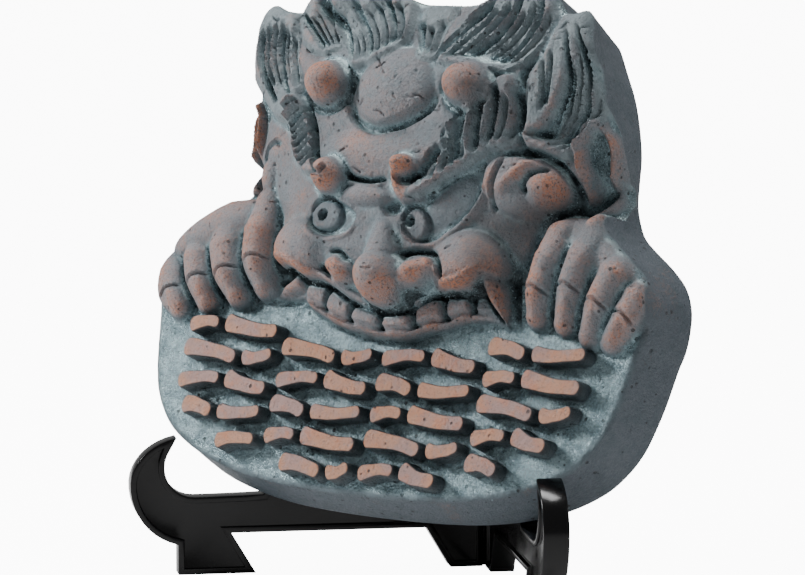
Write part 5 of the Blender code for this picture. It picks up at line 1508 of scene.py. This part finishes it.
        mesh = bpy.data.meshes.new("onigawara_tile_clay")
        mesh.from_pydata(places.tolist(), [], faces)
        mesh.update()
        extra = len(places) - first
        for mark, values in marks.items():
            filler = np.full(extra, 1.0 if mark is Mark.WALL else 0.0)
            whole = np.concatenate([values, filler])
            layer = mesh.attributes.new(mark.value, "FLOAT", "POINT")
            layer.data.foreach_set("value", whole.astype(np.float32))
        smooth_faces(mesh, material, self.sharp_deg)
        tile = new_object("onigawara_tile_clay", mesh)
        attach(tile, ROOT_BODY)
        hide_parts("onigawara_tile")
        return tile


@dataclass(frozen=True)
class ClayCrumbs:
    """Crumbs of clay left by the carver's tools in the grooves, in the hair and about the dabs."""

    density: float = 210000.0
    radius: float = 0.00026
    size_low: float = 0.45
    size_high: float = 1.5
    gap: float = 0.0005

    def tree(self) -> bpy.types.NodeTree:
        """Return the scatter: lumps on the marked faces, turned and sized at random."""
        tree = bpy.data.node_groups.new("clay_crumb_scatter", "GeometryNodeTree")
        faces = tree.interface
        faces.new_socket("Geometry", in_out="INPUT", socket_type="NodeSocketGeometry")
        for name, value in (("Density", self.density), ("Gap", self.gap), ("Radius", self.radius),
                            ("Size Low", self.size_low), ("Size High", self.size_high)):
            faces.new_socket(name, in_out="INPUT", socket_type="NodeSocketFloat").default_value = value
        faces.new_socket("Seed", in_out="INPUT", socket_type="NodeSocketInt").default_value = SEED
        faces.new_socket("Material", in_out="INPUT", socket_type="NodeSocketMaterial")
        faces.new_socket("Geometry", in_out="OUTPUT", socket_type="NodeSocketGeometry")
        sheet = ShaderSheet(tree)
        given, result = sheet.add("NodeGroupInput"), sheet.add("NodeGroupOutput")
        scatter = sheet.add("GeometryNodeDistributePointsOnFaces", distribute_method="POISSON")
        where = sheet.add("GeometryNodeInputNamedAttribute", data_type="FLOAT")
        where.inputs["Name"].default_value = Mark.CRUMB.value
        lump = sheet.add("GeometryNodeMeshIcoSphere")
        place = sheet.add("GeometryNodeInstanceOnPoints")
        turn = sheet.add("FunctionNodeRandomValue", data_type="FLOAT_VECTOR")
        size = sheet.add("FunctionNodeRandomValue", data_type="FLOAT_VECTOR")
        spread = sheet.add("ShaderNodeCombineXYZ")
        least = sheet.add("ShaderNodeCombineXYZ")
        solid = sheet.add("GeometryNodeRealizeInstances")
        finish = sheet.add("GeometryNodeSetMaterial")
        turn.inputs["Max"].default_value = (math.tau, math.tau, math.tau)
        for axis in "XYZ":
            sheet.link(given.outputs["Size Low"], least.inputs[axis])
            sheet.link(given.outputs["Size High"], spread.inputs[axis])
        for source, leaving, target, entering in (
                (given, "Geometry", scatter, "Mesh"), (given, "Gap", scatter, "Distance Min"),
                (given, "Density", scatter, "Density Max"), (where, "Attribute", scatter, "Density Factor"),
                (given, "Seed", scatter, "Seed"), (given, "Radius", lump, "Radius"),
                (scatter, "Points", place, "Points"), (lump, "Mesh", place, "Instance"),
                (given, "Seed", turn, "Seed"), (turn, "Value", place, "Rotation"),
                (least, "Vector", size, "Min"), (spread, "Vector", size, "Max"),
                (given, "Seed", size, "Seed"), (size, "Value", place, "Scale"),
                (place, "Instances", solid, "Geometry"),
                (solid, "Geometry", finish, "Geometry"), (given, "Material", finish, "Material"),
                (finish, "Geometry", result, "Geometry")):
            sheet.link(source.outputs[leaving], target.inputs[entering])
        return tree

    def build(self, tile: bpy.types.Object, material: bpy.types.Material) -> bpy.types.Object:
        """Scatter the crumbs over the tile and return them as one plain mesh.

        Args:
            tile: The dressed tile, with its marks.
            material: The crumbs' material.

        Returns:
            The crumbs.
        """
        bed = new_object("crumb_bed", tile.data)
        change = bed.modifiers.new("Crumbs", "NODES")
        change.node_group = self.tree()
        for item in change.node_group.interface.items_tree:
            if item.item_type == "SOCKET" and item.in_out == "INPUT" and item.name == "Material":
                change[item.identifier] = material
        graph = bpy.context.evaluated_depsgraph_get()
        mesh = bpy.data.meshes.new_from_object(bed.evaluated_get(graph))
        bpy.data.objects.remove(bed, do_unlink=True)
        mesh.name = "clay_crumbs"
        crumbs = new_object("clay_crumbs", mesh)
        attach(crumbs, ROOT_BODY)
        return crumbs


@dataclass(frozen=True)
class CrumbClay:
    """The crumbs' clay, paler and glossier than the ground they lie on."""

    pale: tuple[int, int, int] = (128, 148, 153)
    dull: tuple[int, int, int] = (74, 84, 90)
    roughness: float = 0.42

    def dress(self, grain: bpy.types.NodeTree) -> bpy.types.Material:
        """Return the crumbs' material."""
        material, sheet, shader = new_material("clay_crumb")
        _, group = place_grain(sheet, grain, 500.0, 3000.0, 900.0)
        sheet.link(sheet.blend(sheet.ramp(group.outputs["Mottle"], 0.35, 0.65), colour(*self.dull),
                               colour(*self.pale)), shader.inputs["Base Color"])
        sheet.link(sheet.ramp(group.outputs["Grain"], 0.3, 0.7, self.roughness - 0.1, self.roughness + 0.1),
                   shader.inputs["Roughness"])
        return material


@dataclass(frozen=True)
class PlateStand:
    """The folding plate stand: two moulded leaves with softened edges."""

    edge_round: float = 0.00045
    edge_segments: int = 2
    edge_profile: float = 0.6
    merge_gap: float = 0.00001
    flat_deg: float = 0.6
    round_from_deg: float = 32.0
    leaves: tuple[str, ...] = ("stand_leaf_left", "stand_leaf_right")

    def build(self, material: bpy.types.Material) -> list[bpy.types.Object]:
        """Build both leaves from the CAD nodes' shapes, with round edges.

        Args:
            material: The plastic's material.

        Returns:
            The leaves.
        """
        least_turn = math.radians(self.round_from_deg)
        pieces = []
        for name in self.leaves:
            bm = bmesh.new()
            bm.from_mesh(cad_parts[name].data)
            bmesh.ops.remove_doubles(bm, verts=bm.verts, dist=self.merge_gap)
            bmesh.ops.dissolve_limit(bm, angle_limit=math.radians(self.flat_deg), verts=bm.verts,
                                     edges=bm.edges)
            corners = [edge for edge in bm.edges
                       if len(edge.link_faces) == 2 and edge.calc_face_angle(0.0) > least_turn]
            bmesh.ops.bevel(bm, geom=corners, offset=self.edge_round, offset_type="OFFSET",
                            segments=self.edge_segments, profile=self.edge_profile, affect="EDGES",
                            clamp_overlap=True)
            bmesh.ops.triangulate(bm, faces=bm.faces)
            mesh = bpy.data.meshes.new(name + "_moulding")
            bm.to_mesh(mesh)
            bm.free()
            smooth_faces(mesh, material, self.round_from_deg)
            leaf = new_object(name + "_moulding", mesh)
            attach(leaf, ROOT_BODY)
            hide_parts(name)
            pieces.append(leaf)
        return pieces


@dataclass(frozen=True)
class Softbox:
    """A white area light: its place, size and strength. It is aimed at the tile."""

    name: str
    place: tuple[float, float, float]
    size: tuple[float, float]
    watts: float


@dataclass(frozen=True)
class Studio:
    """Pale floor, soft lights and the camera at the photograph's angle."""

    hinge_place: tuple[float, float, float] = (0.0, 0.04782, 0.0)
    camera_offset: tuple[float, float, float] = (0.8485, -1.2043, 0.2629)
    turn_deg: float = 36.5
    rise_deg: float = 6.2
    lens: float = 180.2
    target: tuple[float, float, float] = (0.0, -0.01, 0.11)
    sky: float = 0.29
    white: float = 18.0
    floor_reach: float = 6.0
    floor_grey: float = 0.93
    floor_rough: float = 0.45
    floor_glow: float = 0.6
    softboxes: tuple[Softbox, ...] = (
        Softbox("key", (-0.62, -0.40, 0.50), (0.20, 0.20), 8.3),
        Softbox("top", (0.0, 0.1, 1.4), (0.7, 0.3), 16.0),
        Softbox("rim", (1.1, 0.25, 1.15), (0.35, 0.5), 2.0),
    )

    def camera(self) -> None:
        """Place the camera."""
        turn, rise = math.radians(self.turn_deg), math.radians(self.rise_deg)
        right = Vector((math.cos(turn), math.sin(turn), 0.0))
        back = Vector((math.sin(turn) * math.cos(rise), -math.cos(turn) * math.cos(rise), math.sin(rise)))
        up = back.cross(right)
        data = bpy.data.cameras.new("photo_camera")
        data.lens = self.lens
        data.sensor_width = 36.0
        data.clip_start = 0.05
        camera = new_object("photo_camera", data)
        turned = Matrix((right, up, back)).transposed().to_4x4()
        turned.translation = Vector(self.hinge_place) + Vector(self.camera_offset)
        camera.matrix_world = turned
        bpy.context.scene.camera = camera

    def lights(self) -> None:
        """Place the softboxes and the pale surroundings."""
        for box in self.softboxes:
            data = bpy.data.lights.new(box.name, "AREA")
            data.shape = "RECTANGLE"
            data.size, data.size_y = box.size
            data.energy = box.watts
            light = new_object(box.name, data)
            light.location = box.place
            aim = Vector(self.target) - Vector(box.place)
            light.rotation_euler = aim.to_track_quat("-Z", "Y").to_euler()
        world = bpy.data.worlds.new("pale_room")
        world.use_nodes = True
        sheet = ShaderSheet(world.node_tree)
        room = world.node_tree.nodes["Background"]
        room.inputs["Strength"].default_value = self.sky
        seen = sheet.add("ShaderNodeBackground")
        seen.inputs["Strength"].default_value = self.white
        for shade in (room, seen):
            shade.inputs["Color"].default_value = (1.0, 1.0, 1.0, 1.0)
        choice = sheet.add("ShaderNodeMixShader")
        sheet.link(sheet.add("ShaderNodeLightPath").outputs["Is Camera Ray"], choice.inputs[0])
        sheet.link(room.outputs[0], choice.inputs[1])
        sheet.link(seen.outputs[0], choice.inputs[2])
        sheet.link(choice.outputs[0], world.node_tree.nodes["World Output"].inputs["Surface"])
        bpy.context.scene.world = world

    def floor(self) -> None:
        """Lay the pale floor."""
        bm = bmesh.new()
        bmesh.ops.create_grid(bm, x_segments=1, y_segments=1, size=self.floor_reach)
        mesh = bpy.data.meshes.new("pale_floor")
        bm.to_mesh(mesh)
        bm.free()
        material, sheet, shader = new_material("pale_floor")
        shader.inputs["Base Color"].default_value = (self.floor_grey, self.floor_grey, self.floor_grey, 1.0)
        shader.inputs["Roughness"].default_value = self.floor_rough
        glow = sheet.add("ShaderNodeEmission")
        glow.inputs["Strength"].default_value = self.white
        choice = sheet.add("ShaderNodeMixShader")
        seen = sheet.math("MULTIPLY", sheet.add("ShaderNodeLightPath").outputs["Is Camera Ray"],
                          self.floor_glow)
        sheet.link(seen, choice.inputs[0])
        sheet.link(shader.outputs[0], choice.inputs[1])
        sheet.link(glow.outputs[0], choice.inputs[2])
        sheet.link(choice.outputs[0], material.node_tree.nodes["Material Output"].inputs["Surface"])
        mesh.materials.append(material)
        floor = new_object("pale_floor", mesh)

    def build(self) -> None:
        """Set up the whole studio."""
        self.camera()
        self.lights()
        self.floor()


def report(piece: bpy.types.Object) -> None:
    """Log a piece's name and size."""
    corners = np.array([vertex.co for vertex in piece.data.vertices])
    extent = (corners.max(0) - corners.min(0)) * 1000
    LOG.info("%s: %d triangles, %.1f x %.1f x %.1f mm", piece.name, len(piece.data.polygons), *extent)


def main() -> None:
    """Build the studio and the pieces in order."""
    logging.basicConfig(level=logging.INFO, format="%(name)s: %(message)s")
    Studio().build()
    grain = grain_group()
    tile = DemonTile().build(SmokedClay().dress(grain))
    report(tile)
    report(ClayCrumbs().build(tile, CrumbClay().dress(grain)))
    for leaf in PlateStand().build(BlackPlastic().dress(grain)):
        report(leaf)


if __name__ == "__main__":
    main()
